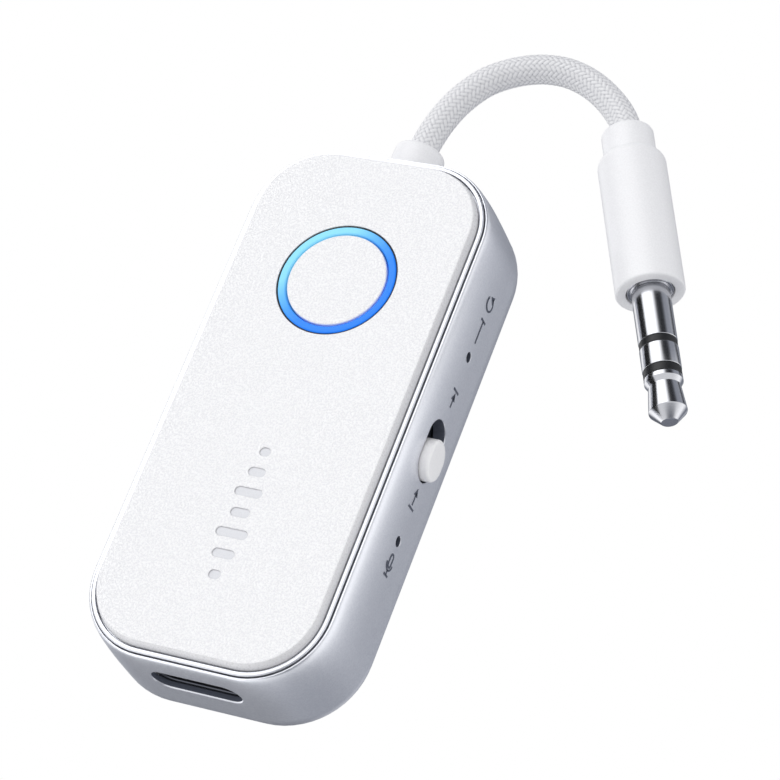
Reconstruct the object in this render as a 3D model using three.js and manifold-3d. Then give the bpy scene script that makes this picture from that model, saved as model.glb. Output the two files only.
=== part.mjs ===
// Bluetooth audio receiver with a captive cord and a 3.5 mm stereo plug. Millimetres, +Z up.
// It lies on its back: the back face is z = 0, the cord leaves the +Y end, the charging port is in the
// -Y end, and the reset hole, mode switch and microphone are on the +X side.
import * as THREE from 'three';
import { mergeVertices } from 'three/addons/utils/BufferGeometryUtils.js';
import Module from 'manifold-3d';

const wasm = await Module();
wasm.setup();

// ---- Driving dimensions ----

// Front plate: outline of its top edge, and how far its side wall flares out lower down.
const PLATE_HALF_X = 10.5;
const PLATE_HALF_Y = 24.85;
const PLATE_CORNER = 5.9;
const PLATE_THICK = 1;
const PLATE_FLARE = 0.25;
const PLATE_FLARE_DROP = 0.75;
const PLATE_TOP = 12;

// Back shell.
const BODY_HALF_X = 12.2;
const BODY_HALF_Y = 26.1;
const BODY_CORNER = 7.5;
const WALL = 1.2;
const BACK_ROUND = 2.8;
const LIP_Z = 11;
const LIP_INSET_X = 0.7;
const LIP_INSET_Y = 0.25;
const SHOULDER_Z = 5.2;
const LEDGE_Z = 9.6;
const OPENING_GROWTH = 0.86;

// A small gap between parts that stand free of each other, and how far a cutting tool overshoots.
const GAP = 0.05;
const PAST = 1;

// Front frame: outer edge and pocket edge, both measured out from the plate's top edge.
const FRAME_GROWTH = 0.78;
const POCKET_GROWTH = 0.38;
const FRAME_LOW = 9.75;
const FRAME_TOP = 11.27;
const FRAME_EDGE = 0.1;
const POCKET_FLOOR = 10.75;
const FILM_INSET = 0.6;
const FILM_THICK = 0.15;

// Button and light ring.
const BUTTON_Y = 12.2;
const CAP_RADIUS = 4.64;
const RING_INNER = 4.79;
const RING_OUTER = 5.5;
const RING_FLANGE = 6.9;
const RING_LOW = 8.9;
const FLANGE_TOP = 9.6;
const CAP_LOW = 10.9;
const CAP_ROUND = 0.15;
const PLATE_HOLE = 5.65;
const FRAME_HOLE = 5.9;

// Circuit board.
const BOARD_LOW = 4.85;
const BOARD_TOP = 5.65;
const BOARD_HALF_X = 10;
const BOARD_END_PORT = -23.6;
const BOARD_END_CORD = 21.8;
const BOARD_CORNER = 4.8;
const SCREW_X = 7.9;
const SCREW_Y = 19.6;
const BOSS_RADIUS = 1.5;
const BOSS_LOW = 0.6;
const PILOT_RADIUS = 0.9;
const PILOT_LOW = 1.6;
const SHANK_RADIUS = 0.65;
const HEAD_RADIUS = 1.3;

// The button's switch and the lamps, all on the board.
const MAIN_SWITCH_HALF = 2.2;
const MAIN_SWITCH_TOP = 6.95;
const MAIN_SWITCH_BORE = 1.3;
const PLUNGER_RADIUS = 1.1;
const PLUNGER_LOW = 6.5;
const PLUNGER_TOP = 7.4;
const LAMP_REACH = 4.4;
const LAMP_HALF = [0.8, 0.4];
const LAMP_HIGH = 0.6;

// Charging port: the standard USB-C receptacle.
const PORT_Z = 7.28;
const PORT_WIDE = 8.94;
const PORT_HIGH = 3.26;
const PORT_WALL = 0.3;
const PORT_FRONT = -25.4;
const PORT_BACK = -18.1;
const PORT_HOLE_WIDE = 8.7;
const PORT_HOLE_HIGH = 2.9;
const PORT_POCKET_GROWTH = 0.5;
const PORT_POCKET_END = -24;
const INSERT_GAP = 0.9;
const INSERT_FRONT = -20.1;
const TONGUE_FRONT = -24.8;
const TONGUE_HALF = [3.35, 0.35];

// Side controls, all on one line at this height.
const SIDE_Z = 6.45;
const SLOT_Y = 0.08;
const SLOT_LONG = 5.95;
const SLOT_WIDE = 3.6;
const KNOB_Y = -0.78;
const KNOB_LONG = 3.85;
const KNOB_WIDE = 3.3;
const KNOB_FACE_X = 13;
const KNOB_BACK_X = 10.9;
const KNOB_BEVEL = 0.25;
const RESET_Y = 9.7;
const RESET_Z = 6.4;
const MIC_Y = -8.75;
const MIC_Z = 6.2;
const PINHOLE_RADIUS = 0.48;

// Cutting tools for the side holes run between these two X values.
const SIDE_CUT = [10, 14];

// Battery.
const BATTERY_HALF_X = 8;
const BATTERY_Y = -2;
const BATTERY_HALF_Y = 15;
const BATTERY_LOW = 1.45;
const BATTERY_TOP = 4.45;
const BATTERY_EDGE = 0.5;
const TAPE_HALF = [6, 12];

// Cord, strain relief and plug.
const CORD_Z = 6.2;
const CORD_RADIUS = 1.4;
const BORE_RADIUS = 1.7;
const RELIEF_RADIUS = 2.45;
const RELIEF_END = 29.8;
const PLUG_FACE = [25, 20.7, 3.17];
const PLUG_ANGLE = THREE.MathUtils.degToRad(25.4);
const BARREL_RADIUS = 3.15;
const BARREL_LONG = 14.9;
const COLLAR_RADIUS = 2.42;
const COLLAR_END = -17.7;
const COLLAR_INNER_END = -12.4;
const JACK_RADIUS = 1.75;
const JACK_SEAM = 0.03;

// The cord's centre line, from behind the strain relief's flange to inside the plug barrel.
const CORD_ROUTE = [
  [0, 23.2, 6.2],
  [0, 25.4, 6.2],
  [0, 27.6, 6.2],
  [0.05, 29.8, 6.2],
  [0.3, 31.9, 6.15],
  [0.7, 33.8, 6.05],
  [1.25, 35.6, 5.85],
  [2.1, 37.4, 5.6],
  [3.2, 39.0, 5.3],
  [4.7, 40.35, 4.9],
  [6.4, 41.3, 4.55],
  [8.1, 41.85, 4.2],
  [9.9, 41.95, 3.9],
  [11.6, 41.6, 3.65],
  [13.2, 40.9, 3.45],
  [14.7, 39.9, 3.3],
  [15.9, 38.85, 3.2],
  [16.8, 37.8, 3.17],
  [17.41, 36.69, 3.17],
  [18.35, 34.7, 3.17],
  [19.1, 33.12, 3.17],
  [19.85, 31.54, 3.17],
];

const CORNER_STEPS = 7;
const FINE_TURN = 40;
const COARSE_TURN = 24;
const ROUND_TURN = 16;
const SCREW_TURN = 12;

// ---- Shapes ----

// Merges shared corners and drops the triangles that collapse on a lathe's axis.
function welded(geometry) {
  const bare = geometry.clone();
  bare.deleteAttribute('normal');
  bare.deleteAttribute('uv');
  const merged = mergeVertices(bare, 1e-5);
  const index = merged.index.array;
  const kept = [];
  for (let i = 0; i < index.length; i += 3) {
    const [a, b, c] = [index[i], index[i + 1], index[i + 2]];
    if (a !== b && b !== c && a !== c) {
      kept.push(a, b, c);
    }
  }
  merged.setIndex(kept);
  return merged;
}

function toSolid(geometry) {
  const closed = welded(geometry);
  const vertProperties = new Float32Array(closed.attributes.position.array);
  const triVerts = new Uint32Array(closed.index.array);
  return new wasm.Manifold(new wasm.Mesh({ numProp: 3, vertProperties, triVerts }));
}

function toGeometry(solid) {
  const mesh = solid.getMesh();
  const geometry = new THREE.BufferGeometry();
  geometry.setAttribute('position', new THREE.BufferAttribute(mesh.vertProperties, 3));
  geometry.setIndex(new THREE.BufferAttribute(mesh.triVerts, 1));
  geometry.computeVertexNormals();
  return geometry;
}

function cut(geometry, ...tools) {
  return toGeometry(tools.reduce((solid, tool) => solid.subtract(toSolid(tool)), toSolid(geometry)));
}

function join(geometry, ...others) {
  return toGeometry(others.reduce((solid, other) => solid.add(toSolid(other)), toSolid(geometry)));
}

// A box between two opposite corners.
function block(low, high) {
  const size = high.map((value, axis) => value - low[axis]);
  const centre = high.map((value, axis) => (value + low[axis]) / 2);
  return new THREE.BoxGeometry(...size).translate(...centre);
}

// A box between two X values, about a centre and half sizes in Y and Z.
function blockAlongX([xLow, xHigh], [y, z], [halfY, halfZ]) {
  return block([xLow, y - halfY, z - halfZ], [xHigh, y + halfY, z + halfZ]);
}

// One closed outline of a rectangle with round corners, at height z.
function roundedLoop(z, halfX, halfY, radius) {
  const loop = [];
  for (let corner = 0; corner < 4; corner++) {
    const signX = corner === 0 || corner === 3 ? 1 : -1;
    const signY = corner < 2 ? 1 : -1;
    for (let step = 0; step <= CORNER_STEPS; step++) {
      const angle = ((corner + step / CORNER_STEPS) * Math.PI) / 2;
      const x = signX * (halfX - radius) + radius * Math.cos(angle);
      const y = signY * (halfY - radius) + radius * Math.sin(angle);
      loop.push(new THREE.Vector3(x, y, z));
    }
  }
  return loop;
}

// A closed solid through a stack of loops, lowest first, capped flat at both ends.
function stacked(loops) {
  const count = loops[0].length;
  const index = [];
  for (let level = 0; level + 1 < loops.length; level++) {
    for (let i = 0; i < count; i++) {
      const a = level * count + i;
      const b = level * count + ((i + 1) % count);
      index.push(a, b, b + count, a, b + count, a + count);
    }
  }
  const flat = loops[0].map((point) => new THREE.Vector2(point.x, point.y));
  const top = (loops.length - 1) * count;
  for (const [a, b, c] of THREE.ShapeUtils.triangulateShape(flat, [])) {
    index.push(a, c, b, top + a, top + b, top + c);
  }
  const geometry = new THREE.BufferGeometry().setFromPoints(loops.flat());
  geometry.setIndex(index);
  geometry.computeVertexNormals();
  return geometry;
}

// The plate's outline grown outwards by a distance, at height z.
function plateLoop(z, growth) {
  return roundedLoop(z, PLATE_HALF_X + growth, PLATE_HALF_Y + growth, PLATE_CORNER + growth);
}

// The body's outline set inwards, at height z.
function bodyLoop(z, insetX, insetY) {
  const corner = BODY_CORNER - (insetX + insetY) / 2;
  return roundedLoop(z, BODY_HALF_X - insetX, BODY_HALF_Y - insetY, corner);
}

// A flat shape with round ends: long along x, wide along y.
function obround(long, wide) {
  const radius = wide / 2;
  const reach = long / 2 - radius;
  const shape = new THREE.Shape();
  shape.moveTo(-reach, -radius);
  shape.lineTo(reach, -radius);
  shape.absarc(reach, 0, radius, -Math.PI / 2, Math.PI / 2);
  shape.lineTo(-reach, radius);
  shape.absarc(-reach, 0, radius, Math.PI / 2, (Math.PI * 3) / 2);
  return shape;
}

// An obround bar lying along Y, between two Y values, long in X.
function barAlongY(long, wide, yLow, yHigh, z) {
  const options = { depth: yHigh - yLow, bevelEnabled: false, curveSegments: 5 };
  const bar = new THREE.ExtrudeGeometry(obround(long, wide), options);
  return bar.rotateX(Math.PI / 2).translate(0, yHigh, z);
}

// An obround bar lying along X, between two X values, long in Y.
function barAlongX(long, wide, xLow, xHigh, y, z, bevel = 0) {
  const options = {
    depth: xHigh - xLow - 2 * bevel,
    bevelEnabled: bevel > 0,
    bevelThickness: bevel,
    bevelSize: bevel,
    bevelOffset: -bevel,
    bevelSegments: 3,
    curveSegments: 5,
  };
  const bar = new THREE.ExtrudeGeometry(obround(long, wide), options);
  return bar.rotateX(Math.PI / 2).rotateZ(Math.PI / 2).translate(xLow + bevel, y, z);
}

// A turned solid about Y. The profile is [radius, height] pairs, outer wall going up.
function turned(profile, segments) {
  return new THREE.LatheGeometry(profile.map(([r, y]) => new THREE.Vector2(r, y)), segments);
}

// A turned solid about an upright axis at (x, y).
function upright(profile, segments, x, y) {
  return turned(profile, segments).rotateX(Math.PI / 2).translate(x, y, 0);
}

// A turned solid about an axis along +X at (y, z).
function sideways(profile, segments, y, z) {
  return turned(profile, segments).rotateZ(-Math.PI / 2).translate(0, y, z);
}

function solidProfile(radius, low, high) {
  return [[0, low], [radius, low], [radius, high], [0, high]];
}

function tubeProfile(inner, outer, low, high) {
  return [[inner, low], [outer, low], [outer, high], [inner, high], [inner, low]];
}

// A round quarter turn on a profile's outer edge, ending flat at height top.
function roundedEnd(radius, round, top, steps) {
  return Array.from({ length: steps + 1 }, (_, step) => {
    const angle = ((step / steps) * Math.PI) / 2;
    return [radius - round + round * Math.cos(angle), top - round + round * Math.sin(angle)];
  });
}

// A round tube along a smooth line through the points.
function tube(points, radius, sides, steps) {
  const path = new THREE.CatmullRomCurve3(points.map((point) => new THREE.Vector3(...point)));
  const section = new THREE.Shape();
  for (let side = 0; side < sides; side++) {
    const angle = (side / sides) * Math.PI * 2;
    const [x, y] = [radius * Math.cos(angle), radius * Math.sin(angle)];
    side === 0 ? section.moveTo(x, y) : section.lineTo(x, y);
  }
  return new THREE.ExtrudeGeometry(section, { steps, extrudePath: path, bevelEnabled: false });
}

// ---- Materials ----

function finish(color, roughness, metalness = 0) {
  return new THREE.MeshStandardMaterial({ color, roughness, metalness });
}

const silverPaint = finish(0xb4b9c6, 0.38, 0.55);
const whiteSatin = finish(0xeeeef1, 0.45);
const whiteGrain = finish(0xf4f4f6, 0.62);
const blueLight = finish(0x3f8ffa, 0.25);
const blackPlastic = finish(0x22242a, 0.5);
const whiteBraid = finish(0xe2e2e4, 0.7);
const steel = finish(0xb9bcc2, 0.25, 1);
const chrome = finish(0xd4d5d8, 0.12, 1);
const greenMask = finish(0x1f5a3a, 0.45);
const chipBlack = finish(0x1d1e20, 0.55);
const ceramicTan = finish(0xcfc6b4, 0.6);
const foilGrey = finish(0xa9adb3, 0.35, 0.7);
const tapeWhite = finish(0xdcdcd8, 0.8);
const rubberBlack = finish(0x2b2b2d, 0.85);
const ledWhite = finish(0xf2f4f8, 0.35);
const redWire = finish(0xb8322c, 0.5);
const blackWire = finish(0x26262a, 0.5);
const copperWire = finish(0xb36b3c, 0.45, 0.4);
const tantalum = finish(0xd8a24a, 0.5);
const naturalNylon = finish(0xd9d6cc, 0.55);

const receiver = new THREE.Group();

function add(parent, name, geometry, material) {
  const mesh = new THREE.Mesh(geometry, material);
  mesh.name = name;
  parent.add(mesh);
}

// ---- Back shell ----

// Quarter circle at the back edge, upright side, then an elliptical shoulder in to the lip.
function shellOutside() {
  const loops = [];
  const backSteps = 5;
  for (let step = 0; step <= backSteps; step++) {
    const angle = ((step / backSteps) * Math.PI) / 2;
    const inset = BACK_ROUND * (1 - Math.sin(angle));
    loops.push(bodyLoop(BACK_ROUND * (1 - Math.cos(angle)), inset, inset));
  }
  const shoulderSteps = 6;
  for (let step = 0; step <= shoulderSteps; step++) {
    const angle = ((step / shoulderSteps) * Math.PI) / 2;
    const z = SHOULDER_Z + (LIP_Z - SHOULDER_Z) * Math.sin(angle);
    const share = 1 - Math.cos(angle);
    loops.push(bodyLoop(z, LIP_INSET_X * share, LIP_INSET_Y * share));
  }
  return stacked(loops);
}

// The hollow: the same round as the outside, one wall thickness in.
function shellHollow() {
  const round = BACK_ROUND - WALL;
  const loops = [];
  const steps = 3;
  for (let step = 0; step <= steps; step++) {
    const angle = ((step / steps) * Math.PI) / 2;
    const inset = WALL + round * (1 - Math.sin(angle));
    loops.push(bodyLoop(WALL + round * (1 - Math.cos(angle)), inset, inset));
  }
  loops.push(bodyLoop(LIP_Z + PAST, WALL, WALL));
  return stacked(loops);
}

function screwPlaces() {
  return [[-1, -1], [1, -1], [-1, 1], [1, 1]].map(([x, y]) => [x * SCREW_X, y * SCREW_Y]);
}

function backShell() {
  const opening = stacked([
    plateLoop(LEDGE_Z, OPENING_GROWTH),
    plateLoop(LIP_Z + PAST, OPENING_GROWTH),
  ]);
  const portHole = barAlongY(PORT_HOLE_WIDE, PORT_HOLE_HIGH, -BODY_HALF_Y - PAST, PORT_FRONT, PORT_Z);
  const pocketSize = [PORT_WIDE + PORT_POCKET_GROWTH, PORT_HIGH + PORT_POCKET_GROWTH];
  const portPocket = barAlongY(...pocketSize, PORT_FRONT - 3 * GAP, PORT_POCKET_END, PORT_Z);
  const reliefHole = turned(solidProfile(RELIEF_RADIUS + 3 * GAP, 24, 28), COARSE_TURN);
  const slot = barAlongX(SLOT_LONG, SLOT_WIDE, ...SIDE_CUT, SLOT_Y, SIDE_Z);
  const pinhole = solidProfile(PINHOLE_RADIUS, ...SIDE_CUT);
  const resetHole = sideways(pinhole, ROUND_TURN, RESET_Y, RESET_Z);
  const micHole = sideways(pinhole, ROUND_TURN, MIC_Y, MIC_Z);
  const hollowed = cut(
    shellOutside(),
    shellHollow(),
    opening,
    portHole,
    portPocket,
    reliefHole.translate(0, 0, CORD_Z),
    slot,
    resetHole,
    micHole,
  );
  const bosses = screwPlaces().map(([x, y]) => {
    return upright(solidProfile(BOSS_RADIUS, BOSS_LOW, BOARD_LOW - GAP), ROUND_TURN, x, y);
  });
  const pilots = screwPlaces().map(([x, y]) => {
    return upright(solidProfile(PILOT_RADIUS, PILOT_LOW, BOARD_TOP), SCREW_TURN, x, y);
  });
  return cut(join(hollowed, ...bosses), ...pilots);
}

add(receiver, 'back_shell', backShell(), silverPaint);

// ---- Front: frame, film, plate ----

function buttonHole(radius) {
  return upright(solidProfile(radius, 8, 14), FINE_TURN, 0, BUTTON_Y);
}

function frontFrame() {
  const outside = stacked([
    plateLoop(FRAME_LOW, FRAME_GROWTH),
    plateLoop(FRAME_TOP - FRAME_EDGE, FRAME_GROWTH),
    plateLoop(FRAME_TOP, FRAME_GROWTH - FRAME_EDGE),
  ]);
  const pocket = stacked([plateLoop(POCKET_FLOOR, POCKET_GROWTH), plateLoop(PLATE_TOP, POCKET_GROWTH)]);
  return cut(outside, pocket, buttonHole(FRAME_HOLE));
}

function plateFilm() {
  const low = POCKET_FLOOR + GAP;
  const film = stacked([plateLoop(low, -FILM_INSET), plateLoop(low + FILM_THICK, -FILM_INSET)]);
  return cut(film, buttonHole(PLATE_HOLE + FILM_INSET));
}

function frontPlate() {
  const plate = stacked([
    plateLoop(PLATE_TOP - PLATE_THICK, PLATE_FLARE),
    plateLoop(PLATE_TOP - PLATE_FLARE_DROP, PLATE_FLARE),
    plateLoop(PLATE_TOP, 0),
  ]);
  return cut(plate, buttonHole(PLATE_HOLE));
}

add(receiver, 'front_frame', frontFrame(), silverPaint);
add(receiver, 'plate_film', plateFilm(), tapeWhite);
add(receiver, 'front_plate', frontPlate(), whiteGrain);

// ---- Button and light ring ----

const RING_PROFILE = [
  [RING_INNER, RING_LOW],
  [RING_FLANGE, RING_LOW],
  [RING_FLANGE, FLANGE_TOP],
  [RING_OUTER, FLANGE_TOP],
  [RING_OUTER, PLATE_TOP],
  [RING_INNER, PLATE_TOP],
  [RING_INNER, RING_LOW],
];

// A plunger with a hollow underside: its centre post pushes the switch, its flange stops it lifting out.
const CARRIER_PROFILE = [
  [0, 7.45],
  [1.6, 7.45],
  [1.6, 9.9],
  [3.7, 9.9],
  [3.7, 8.1],
  [5.3, 8.1],
  [5.3, 8.7],
  [4.5, 8.7],
  [4.5, 10.85],
  [0, 10.85],
];

const CAP_PROFILE = [
  [0, CAP_LOW],
  [CAP_RADIUS, CAP_LOW],
  ...roundedEnd(CAP_RADIUS, CAP_ROUND, PLATE_TOP, 3),
  [0, PLATE_TOP],
];

add(receiver, 'light_ring', upright(RING_PROFILE, FINE_TURN, 0, BUTTON_Y), blueLight);
add(receiver, 'button_cap', upright(CAP_PROFILE, FINE_TURN, 0, BUTTON_Y), whiteGrain);
add(receiver, 'button_carrier', upright(CARRIER_PROFILE, COARSE_TURN, 0, BUTTON_Y), naturalNylon);

function mainSwitchBody() {
  const half = MAIN_SWITCH_HALF;
  const can = block([-half, BUTTON_Y - half, BOARD_TOP], [half, BUTTON_Y + half, MAIN_SWITCH_TOP]);
  const bore = solidProfile(MAIN_SWITCH_BORE, PLUNGER_LOW - 0.4, MAIN_SWITCH_TOP + PAST);
  return cut(can, upright(bore, ROUND_TURN, 0, BUTTON_Y));
}

add(receiver, 'main_switch_body', mainSwitchBody(), steel);

const plungerProfile = solidProfile(PLUNGER_RADIUS, PLUNGER_LOW, PLUNGER_TOP);
const mainPlunger = upright(plungerProfile, ROUND_TURN, 0, BUTTON_Y);
add(receiver, 'main_switch_plunger', mainPlunger, blackPlastic);

// Four lamps under the ring's flange, one at each quarter.
[[-1, -1], [1, -1], [1, 1], [-1, 1]].forEach(([signX, signY], count) => {
  const [x, y] = [signX * LAMP_REACH, BUTTON_Y + signY * LAMP_REACH];
  const [halfX, halfY] = LAMP_HALF;
  const low = [x - halfX, y - halfY, BOARD_TOP];
  const lamp = block(low, [x + halfX, y + halfY, BOARD_TOP + LAMP_HIGH]);
  add(receiver, `ring_lamp_${count + 1}`, lamp, ledWhite);
});

// ---- Circuit board and what is soldered to it ----

function circuitBoard() {
  const halfY = (BOARD_END_CORD - BOARD_END_PORT) / 2;
  const loops = [BOARD_LOW, BOARD_TOP].map((z) => roundedLoop(z, BOARD_HALF_X, halfY, BOARD_CORNER));
  const board = stacked(loops).translate(0, (BOARD_END_CORD + BOARD_END_PORT) / 2, 0);
  const micNotch = blockAlongX([8.5, 12], [MIC_Y, BOARD_LOW], [2.9, 2 * PAST]);
  const hole = solidProfile(PILOT_RADIUS + GAP, BOARD_LOW - PAST, BOARD_TOP + PAST);
  const screwHoles = screwPlaces().map(([x, y]) => upright(hole, SCREW_TURN, x, y));
  return cut(board, micNotch, ...screwHoles);
}

add(receiver, 'circuit_board', circuitBoard(), greenMask);

// Name, centre x, centre y, size x, size y, height, material.
const CHIPS = [
  ['bluetooth_chip', -2.5, -4.5, 5, 5, 0.85, chipBlack],
  ['crystal', -7, -4.5, 2, 1.6, 0.55, foilGrey],
  ['chip_antenna', -8.6, 3.5, 1.6, 3.2, 1.2, ceramicTan],
  ['charger_chip', 3.5, -14.5, 3, 1.6, 1.1, chipBlack],
  ['power_inductor', -2.5, -14.5, 3, 3, 1.5, rubberBlack],
  ['audio_capacitor_left', -7.5, 15, 1.6, 3.2, 1.6, tantalum],
  ['audio_capacitor_right', 7.5, 15, 1.6, 3.2, 1.6, tantalum],
];

for (const [name, x, y, sizeX, sizeY, high, material] of CHIPS) {
  const low = [x - sizeX / 2, y - sizeY / 2, BOARD_TOP];
  add(receiver, name, block(low, [x + sizeX / 2, y + sizeY / 2, BOARD_TOP + high]), material);
}

// Pan-head screws: the head stands on the board, the shank drops into its boss.
const SCREW_PROFILE = [
  [0, 1.9],
  [SHANK_RADIUS, 1.9],
  [SHANK_RADIUS, BOARD_TOP + 0.03],
  [HEAD_RADIUS, BOARD_TOP + 0.03],
  [HEAD_RADIUS, BOARD_TOP + 0.4],
  [HEAD_RADIUS - 0.4, BOARD_TOP + 0.75],
  [0, BOARD_TOP + 0.75],
];

screwPlaces().forEach(([x, y], count) => {
  add(receiver, `board_screw_${count + 1}`, upright(SCREW_PROFILE, SCREW_TURN, x, y), steel);
});

// ---- Battery ----

function batteryCell() {
  const half = [BATTERY_HALF_X, BATTERY_HALF_Y];
  const edge = BATTERY_EDGE;
  const loops = [
    roundedLoop(BATTERY_LOW, half[0] - edge, half[1] - edge, 0.6),
    roundedLoop(BATTERY_LOW + edge, half[0], half[1], 0.9),
    roundedLoop(BATTERY_TOP - edge, half[0], half[1], 0.9),
    roundedLoop(BATTERY_TOP, half[0] - edge, half[1] - edge, 0.6),
  ];
  return stacked(loops).translate(0, BATTERY_Y, 0);
}

const batteryTape = block(
  [-TAPE_HALF[0], BATTERY_Y - TAPE_HALF[1], WALL + GAP],
  [TAPE_HALF[0], BATTERY_Y + TAPE_HALF[1], BATTERY_LOW - GAP],
);

add(receiver, 'battery', batteryCell(), foilGrey);
add(receiver, 'battery_tape', batteryTape, tapeWhite);

// Two leads from the cell's end up to pads under the board.
function batteryWire(x) {
  const start = BATTERY_Y + BATTERY_HALF_Y + 0.3;
  const route = [
    [x, start, 3],
    [x, start + 0.9, 3.05],
    [x, start + 1.8, 3.4],
    [x, start + 2.5, 3.9],
    [x, start + 3.4, 4.15],
    [x, start + 4.6, 4.25],
  ];
  return tube(route, 0.4, 6, 8);
}

add(receiver, 'battery_wire_red', batteryWire(-1.6), redWire);
add(receiver, 'battery_wire_black', batteryWire(1.6), blackWire);

// ---- Charging port ----

function portShell() {
  const outside = barAlongY(PORT_WIDE, PORT_HIGH, PORT_FRONT, PORT_BACK, PORT_Z);
  const inner = [PORT_WIDE - 2 * PORT_WALL, PORT_HIGH - 2 * PORT_WALL];
  return cut(outside, barAlongY(...inner, PORT_FRONT - PAST, PORT_BACK + PAST, PORT_Z));
}

// The contact tongue on the moulded block that closes the back of the steel shell.
function portTongue() {
  const size = [PORT_WIDE - INSERT_GAP, PORT_HIGH - INSERT_GAP];
  const insert = barAlongY(...size, INSERT_FRONT, PORT_BACK, PORT_Z);
  const [halfX, halfZ] = TONGUE_HALF;
  const tongue = block([-halfX, TONGUE_FRONT, PORT_Z - halfZ], [halfX, INSERT_FRONT + 0.1, PORT_Z + halfZ]);
  return join(insert, tongue);
}

add(receiver, 'usb_c_shell', portShell(), steel);
add(receiver, 'usb_c_tongue', portTongue(), blackPlastic);

// ---- Mode switch ----

const TAIL_END_X = 9.55;
const TAIL_HALF = [1.1, 0.8];
const FORK_HALF = [0.6, 0.45];
const SHUTTER_X = [10.35, 10.75];
const SHUTTER_HALF = [4, 2.2];
const SWITCH_X = [6.4, 9.2];
const SWITCH_TOP = 7.35;
const SWITCH_Z = (BOARD_TOP + SWITCH_TOP) / 2;

// The knob's head fills the slot; its forked tail reaches through the shutter to the switch.
function slideKnob() {
  const centre = [KNOB_Y, SIDE_Z];
  const head = barAlongX(KNOB_LONG, KNOB_WIDE, KNOB_BACK_X, KNOB_FACE_X, ...centre, KNOB_BEVEL);
  const tail = blockAlongX([TAIL_END_X, KNOB_BACK_X + 0.1], centre, TAIL_HALF);
  const fork = blockAlongX([TAIL_END_X - PAST / 2, KNOB_BACK_X], centre, FORK_HALF);
  return cut(join(head, tail), fork);
}

function slideShutter() {
  const centre = [KNOB_Y, SIDE_Z];
  const window = TAIL_HALF.map((half) => half + 3 * GAP);
  return cut(blockAlongX(SHUTTER_X, centre, SHUTTER_HALF), blockAlongX([10, 11], centre, window));
}

function slideSwitchFrame() {
  const [near, far] = SWITCH_X;
  const can = blockAlongX(SWITCH_X, [SLOT_Y, SWITCH_Z], [3.4, SWITCH_TOP - SWITCH_Z]);
  const room = blockAlongX([near + 0.3, far - 0.3], [SLOT_Y, SWITCH_Z], [2.6, 0.55]);
  const window = blockAlongX([far - 0.6, far + PAST], [SLOT_Y, SIDE_Z], [1.5, 0.35]);
  return cut(can, room, window);
}

function slideActuator() {
  const foot = blockAlongX([6.95, 8.6], [KNOB_Y, SWITCH_Z], [1.1, 0.45]);
  const stem = blockAlongX([8.5, 10.6], [KNOB_Y, SIDE_Z], [0.45, 0.25]);
  return join(foot, stem);
}

add(receiver, 'slide_knob', slideKnob(), whiteSatin);
add(receiver, 'slide_shutter', slideShutter(), blackPlastic);
add(receiver, 'slide_switch_frame', slideSwitchFrame(), steel);
add(receiver, 'slide_switch_actuator', slideActuator(), blackPlastic);

// ---- Reset switch ----

const RESET_SWITCH_X = [7, 9.9];
const RESET_SWITCH_Z = 6.45;

function resetSwitchBody() {
  const [near, far] = RESET_SWITCH_X;
  const can = blockAlongX([near, far], [RESET_Y, RESET_SWITCH_Z], [1.8, RESET_SWITCH_Z - BOARD_TOP]);
  return cut(can, blockAlongX([near + 1.6, far + PAST], [RESET_Y, RESET_Z], [0.8, 0.4]));
}

const resetPlunger = blockAlongX([9, 10.5], [RESET_Y, RESET_Z], [0.7, 0.32]);

add(receiver, 'reset_switch_body', resetSwitchBody(), steel);
add(receiver, 'reset_plunger', resetPlunger, blackPlastic);

// ---- Microphone ----

const MIC_RADIUS = 2;
const MIC_BACK = 8.9;
const MIC_FRONT = 10.3;

// The boot wraps the microphone and has a small round window towards the side hole.
const BOOT_PROFILE = [
  [MIC_RADIUS + 0.1, MIC_BACK],
  [MIC_RADIUS + 0.5, MIC_BACK],
  [MIC_RADIUS + 0.5, MIC_FRONT + 0.5],
  [0.6, MIC_FRONT + 0.5],
  [0.6, MIC_FRONT + 0.1],
  [MIC_RADIUS + 0.1, MIC_FRONT + 0.1],
  [MIC_RADIUS + 0.1, MIC_BACK],
];

const microphone = sideways(solidProfile(MIC_RADIUS, MIC_BACK, MIC_FRONT), ROUND_TURN, MIC_Y, MIC_Z);
add(receiver, 'microphone', microphone, foilGrey);
add(receiver, 'microphone_boot', sideways(BOOT_PROFILE, ROUND_TURN, MIC_Y, MIC_Z), rubberBlack);

// ---- Strain relief, cord and its inner wires ----

// A flange behind the wall, a neck through it and a round-ended sleeve outside.
const FLANGE_RADIUS = 3.2;
const FLANGE_BACK = 23.4;
const FLANGE_FRONT = 24.6;

const RELIEF_PROFILE = [
  [BORE_RADIUS, FLANGE_BACK],
  [FLANGE_RADIUS, FLANGE_BACK],
  [FLANGE_RADIUS, FLANGE_FRONT],
  [RELIEF_RADIUS, FLANGE_FRONT],
  ...roundedEnd(RELIEF_RADIUS, 0.7, RELIEF_END, 4),
  [BORE_RADIUS, RELIEF_END],
  [BORE_RADIUS, FLANGE_BACK],
];

const strainRelief = turned(RELIEF_PROFILE, COARSE_TURN).translate(0, 0, CORD_Z);
add(receiver, 'strain_relief', strainRelief, whiteSatin);
add(receiver, 'cord', tube(CORD_ROUTE, CORD_RADIUS, 8, 36), whiteBraid);

const AUDIO_WIRES = [
  ['audio_wire_left', -1.8, -0.8, copperWire],
  ['audio_wire_ground', 0, 0, blackWire],
  ['audio_wire_right', 1.8, 0.8, redWire],
];

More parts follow.
